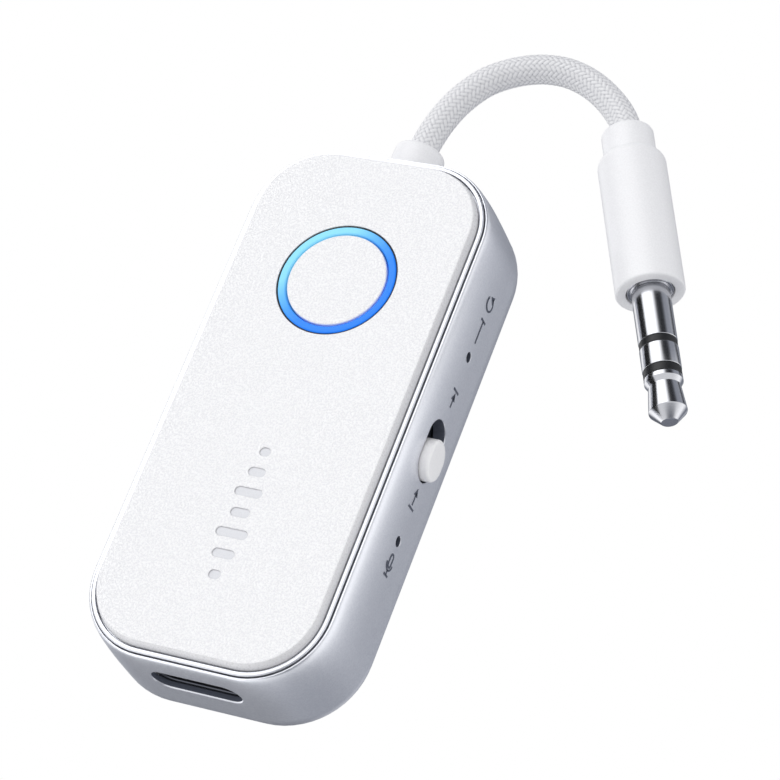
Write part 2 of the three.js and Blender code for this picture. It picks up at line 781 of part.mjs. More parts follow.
for (const [name, pad, root, material] of AUDIO_WIRES) {
  const route = [
    [root, 22.9, CORD_Z + 0.1],
    [root * 1.1, 22.3, CORD_Z + 0.15],
    [root + (pad - root) * 0.5, 21.6, CORD_Z + 0.15],
    [pad, 20.9, CORD_Z + 0.05],
    [pad, 20.2, CORD_Z - 0.05],
    [pad, 19.4, CORD_Z - 0.1],
  ];
  add(receiver, name, tube(route, 0.35, 6, 8), material);
}

// ---- Plug, built along its own axis: the end face is y = 0 and the tip points along +y ----

const plug = new THREE.Group();
plug.position.set(...PLUG_FACE);
plug.rotation.z = PLUG_ANGLE - Math.PI;
receiver.add(plug);

// The barrel's cord end has a round shoulder, so its profile is drawn from that end up.
const SHOULDER = 1.1;
const BARREL_BORE = 2.5;
const BARREL_MOUTH = COLLAR_RADIUS + 0.08;
const MOUTH_END = -BARREL_LONG + 1.4;
const BARREL_EDGE = 0.2;
const RECESS_RADIUS = 2.2;
const RECESS_FLOOR = -0.85;
const barrelShoulder = roundedEnd(BARREL_RADIUS, SHOULDER, BARREL_LONG, 5)
  .map(([r, y]) => [r, -y])
  .reverse();

const BARREL_PROFILE = [
  [BARREL_MOUTH, MOUTH_END],
  [BARREL_MOUTH, -BARREL_LONG + 0.4],
  ...barrelShoulder.filter(([r]) => r > BARREL_MOUTH + 0.12),
  [BARREL_RADIUS, -BARREL_EDGE],
  [BARREL_RADIUS - BARREL_EDGE, 0],
  [RECESS_RADIUS, 0],
  [RECESS_RADIUS, RECESS_FLOOR],
  [BARREL_BORE, RECESS_FLOOR],
  [BARREL_BORE, MOUTH_END],
  [BARREL_MOUTH, MOUTH_END],
];

const COLLAR_PROFILE = [
  [BORE_RADIUS, COLLAR_END],
  ...roundedEnd(COLLAR_RADIUS, 0.35, -COLLAR_END, 3).map(([r, y]) => [r, -y]).reverse(),
  [COLLAR_RADIUS, COLLAR_INNER_END],
  [BORE_RADIUS, COLLAR_INNER_END],
  [BORE_RADIUS, COLLAR_END],
];

add(plug, 'plug_collar', turned(COLLAR_PROFILE, COARSE_TURN), whiteSatin);
add(plug, 'plug_barrel', turned(BARREL_PROFILE, FINE_TURN), whiteSatin);

// The moulded core round the jack's root, with a blind bore for the jack's tail.
const CORE_RADIUS = 2.35;
const CORE_BACK = -11.6;
const CORE_FRONT = -1.8;
const CORE_BORE = 1.2;
const CORE_BORE_END = -6.5;

const CORE_PROFILE = [
  [0, CORE_BACK],
  [CORE_RADIUS, CORE_BACK],
  [CORE_RADIUS, CORE_FRONT],
  [CORE_BORE, CORE_FRONT],
  [CORE_BORE, CORE_BORE_END],
  [0, CORE_BORE_END],
];

add(plug, 'plug_core', turned(CORE_PROFILE, COARSE_TURN), naturalNylon);

// The jack is a stack of tubes round the tip's centre pin.
const SLEEVE_END = 5.3;
const FIRST_BAND_END = 6;
const RING_END = 8.2;
const SECOND_BAND_END = 9;
const PIN_RADIUS = 0.45;
const PIN_BORE = 0.6;

// A disc held behind the barrel's end wall, a step in its recess, a tail into the core behind it and
// the long contact outside.
const TAIL_RADIUS = 1.1;
const TAIL_END = -5;
const DISC_RADIUS = BARREL_BORE - 0.08;
const DISC_BACK = -1.7;
const STEP_RADIUS = 2.1;
const STEP_TOP = -0.15;

const SLEEVE_PROFILE = [
  [PIN_BORE, TAIL_END],
  [TAIL_RADIUS, TAIL_END],
  [TAIL_RADIUS, DISC_BACK],
  [DISC_RADIUS, DISC_BACK],
  [DISC_RADIUS, RECESS_FLOOR - 0.1],
  [STEP_RADIUS, RECESS_FLOOR - 0.1],
  [STEP_RADIUS, STEP_TOP],
  [JACK_RADIUS, STEP_TOP],
  [JACK_RADIUS, SLEEVE_END],
  [PIN_BORE, SLEEVE_END],
  [PIN_BORE, TAIL_END],
];

// The tip: a narrow collar, the neck that a socket's spring holds, a long flare out to the widest
// point, and a 45 degree cone that ends flat.
const TIP_LOW = SECOND_BAND_END + JACK_SEAM;
const TIP_END = 13.43;
const PIN_END = -6;

const TIP_PROFILE = [
  [0, PIN_END],
  [PIN_RADIUS, PIN_END],
  [PIN_RADIUS, TIP_LOW],
  [JACK_RADIUS - 0.02, TIP_LOW],
  [JACK_RADIUS - 0.02, 9.4],
  [1.45, 9.85],
  [1.72, 12.45],
  [0.75, TIP_END],
  [0, TIP_END],
];

function jackBand(low, high) {
  return turned(tubeProfile(PIN_BORE, JACK_RADIUS, low + JACK_SEAM, high), COARSE_TURN);
}

add(plug, 'jack_sleeve', turned(SLEEVE_PROFILE, COARSE_TURN), chrome);
add(plug, 'jack_band_1', jackBand(SLEEVE_END, FIRST_BAND_END), blackPlastic);
add(plug, 'jack_ring', jackBand(FIRST_BAND_END, RING_END), chrome);
add(plug, 'jack_band_2', jackBand(RING_END, SECOND_BAND_END), blackPlastic);
add(plug, 'jack_tip', turned(TIP_PROFILE, COARSE_TURN), chrome);

export default receiver;
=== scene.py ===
"""Looks of a palm-sized Bluetooth audio receiver with a captive braided cord and a 3.5 mm plug.

Metres, in the CAD frame: the receiver lies on its back on z = 0, the cord leaves the +Y end, the
charging port is in the -Y end and the switch, pinholes and printed marks are on the +X side.
"""

import math

import bmesh
import bpy
import numpy as np
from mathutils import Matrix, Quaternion, Vector


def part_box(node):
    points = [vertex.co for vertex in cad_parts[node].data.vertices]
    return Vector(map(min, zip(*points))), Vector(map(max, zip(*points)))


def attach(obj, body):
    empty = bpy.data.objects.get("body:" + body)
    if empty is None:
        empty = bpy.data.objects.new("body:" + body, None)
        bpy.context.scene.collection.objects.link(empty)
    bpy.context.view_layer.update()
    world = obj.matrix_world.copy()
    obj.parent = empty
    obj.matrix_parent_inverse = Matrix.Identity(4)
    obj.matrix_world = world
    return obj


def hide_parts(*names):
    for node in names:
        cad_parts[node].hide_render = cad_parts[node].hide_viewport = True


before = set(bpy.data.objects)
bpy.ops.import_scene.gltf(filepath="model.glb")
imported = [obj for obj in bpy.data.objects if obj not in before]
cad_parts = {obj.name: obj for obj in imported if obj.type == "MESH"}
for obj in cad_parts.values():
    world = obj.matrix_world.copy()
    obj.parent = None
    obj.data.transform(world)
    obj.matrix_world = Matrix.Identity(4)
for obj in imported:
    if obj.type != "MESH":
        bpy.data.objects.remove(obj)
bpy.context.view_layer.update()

MM = 0.001
RIGHT, AHEAD, UP = np.eye(3)
SHARP = 2e-5 * MM
MERGE = 1e-4 * MM

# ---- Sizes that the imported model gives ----

shell_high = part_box("back_shell")[1]
plate_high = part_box("front_plate")[1]
ring_low, ring_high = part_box("light_ring")
port_low, port_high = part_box("usb_c_shell")
knob_low, knob_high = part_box("slide_knob")
relief_low, relief_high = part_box("strain_relief")

BODY_X, BODY_Y, LIP_Z = shell_high
PLATE_FLARE = 0.25 * MM
PLATE_X = plate_high.x - PLATE_FLARE
PLATE_Y = plate_high.y - PLATE_FLARE
PLATE_TOP = plate_high.z
BUTTON = np.array([0, (ring_low.y + ring_high.y) / 2, 0])
PORT_Z = (port_low.z + port_high.z) / 2
SIDE_Z = (knob_low.z + knob_high.z) / 2
CORD_Z = (relief_low.z + relief_high.z) / 2

# ---- Sizes of its own, the same as the CAD source's ----

PLATE_CORNER = 5.9 * MM
BODY_CORNER = 7.5 * MM
WALL = 1.2 * MM
BACK_ROUND = 2.8 * MM
SHOULDER_Z = 5.2 * MM
LIP_INSET_X = 0.7 * MM
LIP_INSET_Y = 0.25 * MM
LEDGE_Z = 9.6 * MM
OPENING_GROWTH = 0.86 * MM
FRAME_HOLE = 5.9 * MM
PLATE_HOLE = 5.65 * MM
RING_OUTER = 5.5 * MM
SCREW_X = 7.9 * MM
SCREW_Y = 19.6 * MM
# A screw boss: (radius, height) up its side, over its top and down its blind pilot hole.
BOSS = np.array([(0, 0.6), (1.5, 0.6), (1.5, 4.8), (0.9, 4.8), (0.9, 1.6), (0, 1.6)]) * MM
PORT_HOLE_WIDE = 8.7 * MM
PORT_HOLE_HIGH = 2.9 * MM
POCKET_Y = 25.55 * MM
POCKET_GROWTH = 0.4 * MM
PORT_WALL = 0.3 * MM
SLOT_Y = 0.08 * MM
SLOT_LONG = 5.95 * MM
SLOT_WIDE = 3.6 * MM
KNOB_Y = -0.78 * MM
KNOB_LONG = 3.85 * MM
KNOB_WIDE = 3.3 * MM
KNOB_TAIL = np.array([(-1.1, -0.8, 9.55), (1.1, 0.8, 11.2)]) * MM
KNOB_FORK = np.array([(-0.6, -0.45, 9), (0.6, 0.45, 10.9)]) * MM
SIDE_CUT = 10 * MM
RESET_HOLE = np.array([9.7, 6.4]) * MM
MIC_HOLE = np.array([-8.75, 6.2]) * MM
PINHOLE_RADIUS = 0.48 * MM
CORD_RADIUS = 1.4 * MM

# The cord's centre line, from behind the strain relief's flange to inside the plug barrel.
CORD_ROUTE = np.array([
    (0, 23.2, 6.2), (0, 25.4, 6.2), (0, 27.6, 6.2), (0.05, 29.8, 6.2),
    (0.3, 31.9, 6.15), (0.7, 33.8, 6.05), (1.25, 35.6, 5.85), (2.1, 37.4, 5.6),
    (3.2, 39.0, 5.3), (4.7, 40.35, 4.9), (6.4, 41.3, 4.55), (8.1, 41.85, 4.2),
    (9.9, 41.95, 3.9), (11.6, 41.6, 3.65), (13.2, 40.9, 3.45), (14.7, 39.9, 3.3),
    (15.9, 38.85, 3.2), (16.8, 37.8, 3.17), (17.41, 36.69, 3.17), (18.35, 34.7, 3.17),
    (19.1, 33.12, 3.17), (19.85, 31.54, 3.17),
]) * MM

# The plug lies in line with the cord's last stretch: its end face's centre, and the way its tip points.
PLUG_FACE = np.array([25, 20.7, 3.17]) * MM
PLUG_AXIS = (CORD_ROUTE[-1] - CORD_ROUTE[-4]) / np.linalg.norm(CORD_ROUTE[-1] - CORD_ROUTE[-4])
CORD_LENGTH = 39.5 * MM

# The axes that pieces are turned about: a place on each, and its x and y directions.
BUTTON_AXIS = (BUTTON, RIGHT, AHEAD)
CORD_HOLE = ((0, 0, CORD_Z), UP, RIGHT)
PLUG = (PLUG_FACE, UP, np.cross(PLUG_AXIS, UP))

# ---- Camera ----


def new_object(name, data):
    """An object that holds the data, linked to the scene."""
    made = bpy.data.objects.new(name, data)
    bpy.context.scene.collection.objects.link(made)
    return made


def make_camera():
    """A long lens above the charging end's right corner, rolled so that the receiver leans to the right."""
    aim = Vector((5.967, 5.365, 6.009)) * MM
    distance, lens = 266.5 * MM, 139.2
    azimuth, elevation, roll = (math.radians(angle) for angle in (46.27, 55.16, -30.12))
    level = math.cos(elevation)
    back = Vector((math.sin(azimuth) * level, -math.cos(azimuth) * level, math.sin(elevation)))
    data = bpy.data.cameras.new("camera")
    data.sensor_width = 36
    data.lens = lens
    data.clip_start = 10 * MM
    data.clip_end = 10
    camera = new_object("camera", data)
    camera.location = aim + back * distance
    camera.rotation_mode = "QUATERNION"
    upright = (-back).to_track_quat("-Z", "Y")
    camera.rotation_quaternion = upright @ Quaternion((0, 0, 1), roll)
    bpy.context.scene.camera = camera


make_camera()

# ---- Surfaces: a surface is its points and its faces ----

QUARTERS = np.array([(1, 1), (-1, 1), (-1, -1), (1, -1)])


def at_height(corners, height):
    """Flat corners as points at one height."""
    return np.column_stack([corners, np.full(len(corners), height)])


def skin(grid, closed=False, caps=False):
    """Four-sided faces between neighbouring loops of a grid, whose rows are closed loops of points.

    A closed grid also joins its last loop to its first; caps fill the first and the last loop.
    """
    rows, columns = grid.shape[:2]
    index = np.arange(rows * columns).reshape(rows, columns)
    low = index if closed else index[:-1]
    high = np.roll(index, -1, 0) if closed else index[1:]
    quads = np.stack([low, np.roll(low, -1, 1), np.roll(high, -1, 1), high], -1)
    faces = quads.reshape(-1, 4).tolist()
    if caps:
        faces += [index[0, ::-1].tolist(), index[-1].tolist()]
    return grid.reshape(-1, 3), faces


def together(*surfaces):
    """Several surfaces as one, each one's faces numbered on from the last's."""
    starts = np.cumsum([0] + [len(points) for points, _ in surfaces])
    faces = [
        [corner + start for corner in face]
        for start, (_, part) in zip(starts.tolist(), surfaces)
        for face in part
    ]
    return np.vstack([points for points, _ in surfaces]), faces


def placed(surface, origin, right=RIGHT, up=AHEAD):
    """A surface stood in the model: origin + x times right + y times up + z times right x up."""
    points, faces = surface
    axes = np.array([right, up, np.cross(right, up)])
    return points @ axes + np.asarray(origin), faces


def arc(x, y, radius, start, end, count=24):
    """Points on a circle from one angle in degrees to another: centre + radius times cos, sin."""
    angle = np.radians(np.linspace(start, end, count))
    return np.column_stack([x + radius * np.cos(angle), y + radius * np.sin(angle)])


def filleted(corners, radii, steps=5):
    """A closed outline with round corners.

    Each arc's centre lies on its corner's half-angle line, radius / sin(half angle) away, and the arc
    turns evenly from the tangent point on one side to the tangent point on the other.
    """
    corners = np.asarray(corners, float)
    radii = np.maximum(np.broadcast_to(radii, len(corners)), SHARP)[:, None]
    back, ahead = (np.roll(corners, way, 0) - corners for way in (1, -1))
    back /= np.linalg.norm(back, axis=1, keepdims=True)
    ahead /= np.linalg.norm(ahead, axis=1, keepdims=True)
    half = np.arccos(np.sum(back * ahead, 1, keepdims=True)) / 2
    middle = (back + ahead) / np.linalg.norm(back + ahead, axis=1, keepdims=True)
    centre = corners + middle * radii / np.sin(half)
    first, last = (corners + way * radii / np.tan(half) - centre for way in (back, ahead))
    turn = np.pi - 2 * half
    share = np.linspace(0, 1, steps + 1)
    weights = [np.sin(part * turn) / np.sin(turn) for part in (1 - share, share)]
    arcs = centre[:, None] + weights[0][..., None] * first[:, None] + weights[1][..., None] * last[:, None]
    return arcs.reshape(-1, 2)


def profile_of(corners, radii):
    """A filleted profile whose corners and radii are in millimetres."""
    return filleted(np.array(corners) * MM, np.array(radii) * MM)


def turned(profile, steps=96):
    """A closed profile of (radius, height) pairs turned about z: x, y = radius times cos, sin of the turn.

    A profile that starts on the axis ends on it too, and isn't joined back to its start.
    """
    angle = np.arange(steps) * 2 * np.pi / steps
    radius, height = profile[:, 0, None], profile[:, 1, None]
    grid = np.stack(np.broadcast_arrays(radius * np.cos(angle), radius * np.sin(angle), height), -1)
    return skin(grid, closed=profile[0, 0] > MM / 100)


def lathe(axis, corners, radii, steps=96):
    """A surface turned about an axis, from (radius, distance along it) corners in millimetres."""
    return placed(turned(profile_of(corners, radii), steps), *axis)


def rounded_loops(half_x, half_y, corner, height, corner_steps=14, run_steps=24):
    """Loops round a rectangle with round corners, one for each entry of the four arrays.

    Corner by corner: centre + radius times cos, sin over a quarter turn, then even steps along the
    straight run to the next corner.
    """
    sizes = np.broadcast_arrays(half_x, half_y, corner, height)
    half_x, half_y, corner, height = (np.atleast_1d(value)[:, None, None] for value in sizes)
    side_x, side_y = QUARTERS.T[:, :, None]
    angle = (np.arange(4)[:, None] + np.linspace(0, 1, corner_steps + 1)) * np.pi / 2
    arcs = np.stack([
        side_x * (half_x - corner) + corner * np.cos(angle),
        side_y * (half_y - corner) + corner * np.sin(angle),
        np.broadcast_to(height, (len(height), *angle.shape)),
    ], -1)
    share = (np.arange(1, run_steps + 1) / (run_steps + 1))[:, None]
    ends, starts = arcs[:, :, -1:], np.roll(arcs[:, :, :1], -1, 1)
    return np.concatenate([arcs, ends + (starts - ends) * share], 2).reshape(len(height), -1, 3)


def bar(long, wide, profile, corner=None, corner_steps=10):
    """A solid bar standing on its end: an obround, or a rounded rectangle if corner is given.

    The profile's pairs are how far the outline grows outwards and at which height.
    """
    corner = wide / 2 if corner is None else corner
    growth, height = np.asarray(profile, float).T
    loops = rounded_loops(long / 2 + growth, wide / 2 + growth, corner + growth, height, corner_steps, 3)
    return skin(loops, caps=True)


def block(low, high):
    """A plain box between two corners, as a four-cornered loop carried upwards."""
    size = np.subtract(high, low)
    middle = (np.add(high, low) / 2)[:2]
    corners = QUARTERS * size[:2] / 2 + middle
    return skin(np.array([at_height(corners, level) for level in (low[2], high[2])]), caps=True)


def smooth_line(points, step):
    """A Catmull-Rom curve through the points, at even steps along its length.

    Between two points it is the cubic whose slope at each is half the span between that point's
    neighbours.
    """
    padded = np.vstack([2 * points[0] - points[1], points, 2 * points[-1] - points[-2]])
    share = np.linspace(0, 1, 24, endpoint=False)[None, :, None]
    before, start, end, after = (padded[shift:len(points) - 1 + shift, None] for shift in range(4))
    fine = 0.5 * (
        2 * start
        + (end - before) * share
        + (2 * before - 5 * start + 4 * end - after) * share**2
        + (3 * start - before - 3 * end + after) * share**3
    )
    fine = np.vstack([fine.reshape(-1, 3), points[-1]])
    travelled = np.concatenate([[0], np.cumsum(np.linalg.norm(np.diff(fine, axis=0), axis=1))])
    even = np.linspace(0, travelled[-1], max(2, round(travelled[-1] / step)) + 1)
    return np.column_stack([np.interp(even, travelled, fine[:, axis]) for axis in range(3)])


def directions_along(line):
    """Unit vectors across a line at each point: side = way x UP, and rise = side x way."""
    way = np.gradient(line, axis=0)
    way /= np.linalg.norm(way, axis=1, keepdims=True)
    side = np.cross(way, UP)
    side /= np.linalg.norm(side, axis=1, keepdims=True)
    return side, np.cross(side, way)


def carried(section, line):
    """A closed section of (side, rise) pairs carried along a line, with a cap at each end."""
    side, rise = directions_along(line)
    section = np.asarray(section, float)
    grid = line[:, None] + section[:, :1] * side[:, None] + section[:, 1:] * rise[:, None]
    return skin(grid, caps=True)


# ---- Pieces ----


def to_mesh(name, surface, places=None, values=None):
    """A mesh with its doubles merged and its faces turned outwards.

    places are each point's two pattern coordinates, kept as the mesh's UV map, and values are named
    numbers for each point, kept as attributes.
    """
    points, faces = surface
    mesh = bpy.data.meshes.new(name)
    mesh.from_pydata(points, [], faces)
    if places is not None:
        corners = np.empty(len(mesh.loops), int)
        mesh.loops.foreach_get("vertex_index", corners)
        mesh.uv_layers.new(name="pattern").uv.foreach_set("vector", places[corners].ravel())
    for key, numbers in (values or {}).items():
        mesh.attributes.new(key, "FLOAT", "POINT").data.foreach_set("value", numbers)
    shape = bmesh.new()
    shape.from_mesh(mesh)
    bmesh.ops.remove_doubles(shape, verts=shape.verts, dist=MERGE)
    bmesh.ops.recalc_face_normals(shape, faces=shape.faces)
    shape.to_mesh(mesh)
    shape.free()
    return mesh


def make_piece(name, surface, material, stands_for=None, slot=None, body="body", **pattern):
    """A finished object at the origin, which rides on a body and may stand for a CAD node."""
    piece = new_object(name, to_mesh(name, surface, **pattern))
    dress(piece, material)
    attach(piece, body)
    if stands_for:
        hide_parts(stands_for)
    return piece


def dress(piece, material):
    """Gives a piece its material and smooth shading, with crisp corners and flat faces kept flat."""
    piece.data.materials.clear()
    piece.data.materials.append(material)
    piece.data.shade_smooth()
    piece.data.set_sharp_from_angle(angle=math.radians(35))
    weighted = piece.modifiers.new("flat_faces_first", "WEIGHTED_NORMAL")
    weighted.keep_sharp = True


def carve(piece, tool_surface, operation="DIFFERENCE"):
    """Cuts solids out of a piece, or joins them to it, keeping its material and shading."""
    material = piece.data.materials[0]
    piece.modifiers.clear()
    tool = new_object("tool", to_mesh("tool", tool_surface))
    cutter = piece.modifiers.new("carve", "BOOLEAN")
    cutter.operation = operation
    cutter.solver = "EXACT"
    cutter.object = tool
    graph = bpy.context.evaluated_depsgraph_get()
    mesh = bpy.data.meshes.new_from_object(piece.evaluated_get(graph))
    piece.modifiers.clear()
    before, piece.data = piece.data, mesh
    bpy.data.meshes.remove(before)
    bpy.data.meshes.remove(tool.data)
    dress(piece, material)


# ---- Materials ----

# The colour mix node's sockets: its two colours in, and its colour out.
MIX_FIRST, MIX_SECOND, MIX_RESULT = 6, 7, 2


def linear(colour):
    """An sRGB hex colour as linear light: a straight toe, and a power of 2.4 above it."""
    channels = np.array([int(colour[start:start + 2], 16) for start in (1, 3, 5)]) / 255
    light = np.where(channels <= 0.04045, channels / 12.92, ((channels + 0.055) / 1.055) ** 2.4)
    return (*light.tolist(), 1.0)


def add_node(tree, kind, inputs=None, **settings):
    """Adds a node: settings are its properties, and each input takes a value or another node's output."""
    node = tree.nodes.new("ShaderNode" + kind)
    for name, value in settings.items():
        setattr(node, name, value)
    for name, value in (inputs or {}).items():
        if isinstance(value, bpy.types.NodeSocket):
            tree.links.new(value, node.inputs[name])
        else:
            node.inputs[name].default_value = value
    return node


def fresh_tree(owner):
    """A material's or a world's node tree, turned on and emptied."""
    owner.use_nodes = True
    owner.node_tree.nodes.clear()
    return owner.node_tree


def map_range(tree, value, start, end, low=0.0, high=1.0, curve="LINEAR"):
    """A value taken from between start and end to between low and high."""
    inputs = {"Value": value, "From Min": start, "From Max": end, "To Min": low, "To Max": high}
    return add_node(tree, "MapRange", inputs, interpolation_type=curve).outputs["Result"]


def dot(tree, place, way):
    """A place's dot product with a fixed vector."""
    inputs = {0: place, 1: way}
    return add_node(tree, "VectorMath", inputs, operation="DOT_PRODUCT").outputs["Value"]


def mix_colours(tree, share, first, second):
    """The first colour where the share is 0, and the second where it is 1."""
    inputs = {"Factor": share, MIX_FIRST: first, MIX_SECOND: second}
    return add_node(tree, "Mix", inputs, data_type="RGBA").outputs[MIX_RESULT]


def colour_ramp(tree, place, stops):
    """A colour for each place in 0 to 1, from pairs of position and linear colour."""
    ramp = add_node(tree, "ValToRGB", {"Fac": place})
    for position, _ in stops[1:-1]:
        ramp.color_ramp.elements.new(position)
    for element, (position, colour) in zip(ramp.color_ramp.elements, stops):
        element.position = position
        element.color = colour
    return ramp.outputs["Color"]


def show_either(tree, output, share, first, second):
    """Ends a tree in the first shader where the share is 0, and in the second where it is 1."""
    shown = add_node(tree, "MixShader", {0: share, 1: first.outputs[0], 2: second.outputs[0]})
    add_node(tree, output, {"Surface": shown.outputs[0]})


def start_material(name, **constants):
    """A material with a Principled shader whose constants are set on its own sockets."""
    material = bpy.data.materials.new(name)
    material.use_nodes = True
    tree = material.node_tree
    shader = tree.nodes["Principled BSDF"]
    for socket, value in constants.items():
        shader.inputs[socket.replace("_", " ").title().replace("Ior", "IOR")].default_value = value
    return material, tree, shader


def grain_nodes(tree, size, stretch=(1, 1, 1)):
    """A cloudy grain in 0 to 1 on Object coordinates, its size in millimetres."""
    place = add_node(tree, "TexCoord")
    drawn = add_node(tree, "Mapping", {"Vector": place.outputs["Object"], "Scale": stretch})
    inputs = {"Vector": drawn.outputs["Vector"], "Scale": 1 / (size * MM), "Detail": 3.0}
    cloud = add_node(tree, "TexNoise", inputs)
    return map_range(tree, cloud.outputs["Fac"], 0.3, 0.7)


def link_pattern(tree, shader, pattern, colours, roughness, depth):
    """One pattern in 0 to 1 leads from the first colour and roughness to the second, and is the relief."""
    tint = mix_colours(tree, pattern, *map(linear, colours))
    gloss = map_range(tree, pattern, 0.0, 1.0, *roughness)
    relief = add_node(tree, "Bump", {"Height": pattern, "Distance": depth * MM})
    tree.links.new(tint, shader.inputs["Base Color"])
    tree.links.new(gloss, shader.inputs["Roughness"])
    tree.links.new(relief.outputs["Normal"], shader.inputs["Normal"])


def grained(name, colours, roughness, size, depth, stretch=(1, 1, 1), **constants):
    """A finish with one cloudy grain, its size and depth in millimetres; stretch draws it out."""
    material, tree, shader = start_material(name, **constants)
    link_pattern(tree, shader, grain_nodes(tree, size, stretch), colours, roughness, depth)
    return material


def painted_silver():
    """Sprayed metallic lacquer on moulded ABS: a satin silver whose aluminium flakes glint softly.

    Real flakes are about 0.03 mm, too fine to show, so they are drawn 0.12 mm across. Where a piece's
    attribute for unpainted and shaded faces is 1, the colour is dark grey and not metallic: unpainted
    moulding inside, and painted shade on the walls of the holes.
    """
    material, tree, shader = start_material("sprayed_silver_lacquer")
    place = add_node(tree, "TexCoord")
    inputs = {"Vector": place.outputs["Object"], "Scale": 1 / (0.12 * MM)}
    flakes = add_node(tree, "TexVoronoi", inputs)
    glint = add_node(tree, "SeparateColor", {"Color": flakes.outputs["Color"]})
    link_pattern(tree, shader, glint.outputs["Red"], ("#dcdee5", "#e4e6ec"), (0.33, 0.38), 0.0003)
    bare_and_shaded = add_node(tree, "Attribute", attribute_name="bare_and_shaded").outputs["Fac"]
    paint = shader.inputs["Base Color"].links[0].from_socket
    # Dark grey where the attribute is 1: unpainted moulding inside, and painted shade on the hole walls.
    colour = mix_colours(tree, bare_and_shaded, paint, linear("#5c616e"))
    tree.links.new(colour, shader.inputs["Base Color"])
    tree.links.new(map_range(tree, bare_and_shaded, 0.0, 1.0, 0.9, 0.0), shader.inputs["Metallic"])
    return material


def grained_film():
    """Embossed polyurethane film, like fine leather: matt white with shallow wrinkles 0.16 mm apart."""
    material, tree, shader = start_material("embossed_white_film")
    place = add_node(tree, "TexCoord")
    wrinkles = add_node(
        tree, "TexNoise",
        {"Vector": place.outputs["Object"], "Scale": 1 / (0.16 * MM), "Detail": 1.5,
         "Roughness": 0.5, "Distortion": 0.7},
    )
    raised = map_range(tree, wrinkles.outputs["Fac"], 0.34, 0.58, curve="SMOOTHSTEP")
    link_pattern(tree, shader, raised, ("#f2f2f5", "#fdfdfe"), (0.6, 0.5), 0.026)
    return material


def lit_ring():
    """Clear polycarbonate lit from below by the lamps, so it glows blue; it is painted a paler sky blue on
    the side towards the key light, a painted highlight, and deeper blue on the other.
    """
    material, tree, shader = start_material(
        "lit_blue_polycarbonate", emission_strength=0.2, roughness=0.22, specular_ior_level=0.25
    )
    towards_painted_highlight = np.array([-0.77, 0.64, 0])
    across = towards_painted_highlight / (2 * RING_OUTER)
    place = add_node(tree, "TexCoord")
    # The ramp runs paler towards the key light: a painted highlight over the ring's own blue glow, set on
    # both base colour and emission.
    share = dot(tree, place.outputs["Object"], across)
    centred = add_node(tree, "Math", {0: share, 1: 0.5 - float(BUTTON @ across)})
    stops = [
        (0.0, "#1f7cf2"), (0.36, "#2681f3"), (0.5, "#3b93f5"),
        (0.66, "#60b3f4"), (0.8, "#84d2f5"), (1.0, "#8bd8f6"),
    ]
    stops = [(position, linear(colour)) for position, colour in stops]
    light = colour_ramp(tree, centred.outputs["Value"], stops)
    tree.links.new(light, shader.inputs["Base Color"])
    tree.links.new(light, shader.inputs["Emission Color"])
    return material


def braided_yarn():
    """Flat-braided polyester yarn: glossy white, each yarn a ribbon of five filaments, with painted shade:
    grey where the yarn lies low in the gaps.

    The UV map counts yarns, one family along u and the other along v, so a filament is a fifth of a
    unit. over tells which family lies on top, and crown how high the yarn stands.
    """
    material, tree, shader = start_material("braided_white_polyester")
    counts = add_node(tree, "UVMap", uv_map="pattern")
    apart = add_node(tree, "SeparateXYZ", {"Vector": counts.outputs["UV"]})
    over = add_node(tree, "Attribute", attribute_name="over").outputs["Fac"]
    crown = add_node(tree, "Attribute", attribute_name="crown").outputs["Fac"]
    top = add_node(tree, "Mix", {"Factor": over, "A": apart.outputs["Y"], "B": apart.outputs["X"]})
    filament = add_node(
        tree, "Math", {0: top.outputs["Result"], 1: 5 * 2 * math.pi}, operation="MULTIPLY"
    )
    wave = add_node(tree, "Math", {0: filament.outputs["Value"]}, operation="COSINE")
    height = add_node(
        tree, "Math", {0: wave.outputs["Value"], 1: 0.15, 2: crown}, operation="MULTIPLY_ADD"
    )
    # Low places take the grey colour: painted shade in the gaps between yarns and filaments.
    link_pattern(tree, shader, height.outputs["Value"], ("#9d9ea5", "#ececee"), (0.5, 0.28), 0.012)
    return material


def turned_nickel():
    """Nickel-plated brass turned on a lathe: a soft mirror with hair-fine tool marks round it."""
    material, tree, shader = start_material("turned_nickel_plate", metallic=1.0)
    place = add_node(tree, "TexCoord")
    along = dot(tree, place.outputs["Object"], PLUG_AXIS / (0.06 * MM))
    marks = add_node(tree, "TexNoise", {"W": along, "Scale": 1.0}, noise_dimensions="1D")
    link_pattern(tree, shader, marks.outputs["Fac"], ("#c3c4c9", "#d3d4d8"), (0.17, 0.23), 0.0004)
    return material


silver_paint = painted_silver()
white_film = grained_film()
blue_light = lit_ring()
white_yarn = braided_yarn()
nickel = turned_nickel()
# Moulded ABS, spark-eroded: an even satin white.
white_abs = grained("moulded_white_abs", ("#eeeef0", "#f5f5f7"), (0.36, 0.44), 0.15, 0.0015)
# The plate's own ABS, polished at its edge and greyer than the film: the light grey band round the film is
# painted shade on the plate's side.
plate_abs_painted_side_shade = grained("grey_white_abs_painted_side_shade", ("#e0e0e2", "#e6e6e8"), (0.25, 0.32), 0.2, 0.0005)
# Acetal, moulded and tumbled: a softer, warmer white for the sliding knob.
white_acetal = grained("moulded_white_acetal", ("#f8f7f9", "#fdfdfd"), (0.34, 0.42), 0.2, 0.001)
# Glass-filled PBT, moulded: a dull black with a trace of fibre.
black_pbt = grained("moulded_black_pbt", ("#0e0f12", "#17181c"), (0.4, 0.52), 0.25, 0.003, (1, 0.3, 1))
# Liquid-crystal polymer, moulded: dark grey and glossy where light falls into the port.
port_polymer = grained("moulded_grey_polymer", ("#2c2f37", "#363a43"), (0.35, 0.5), 0.2, 0.002)
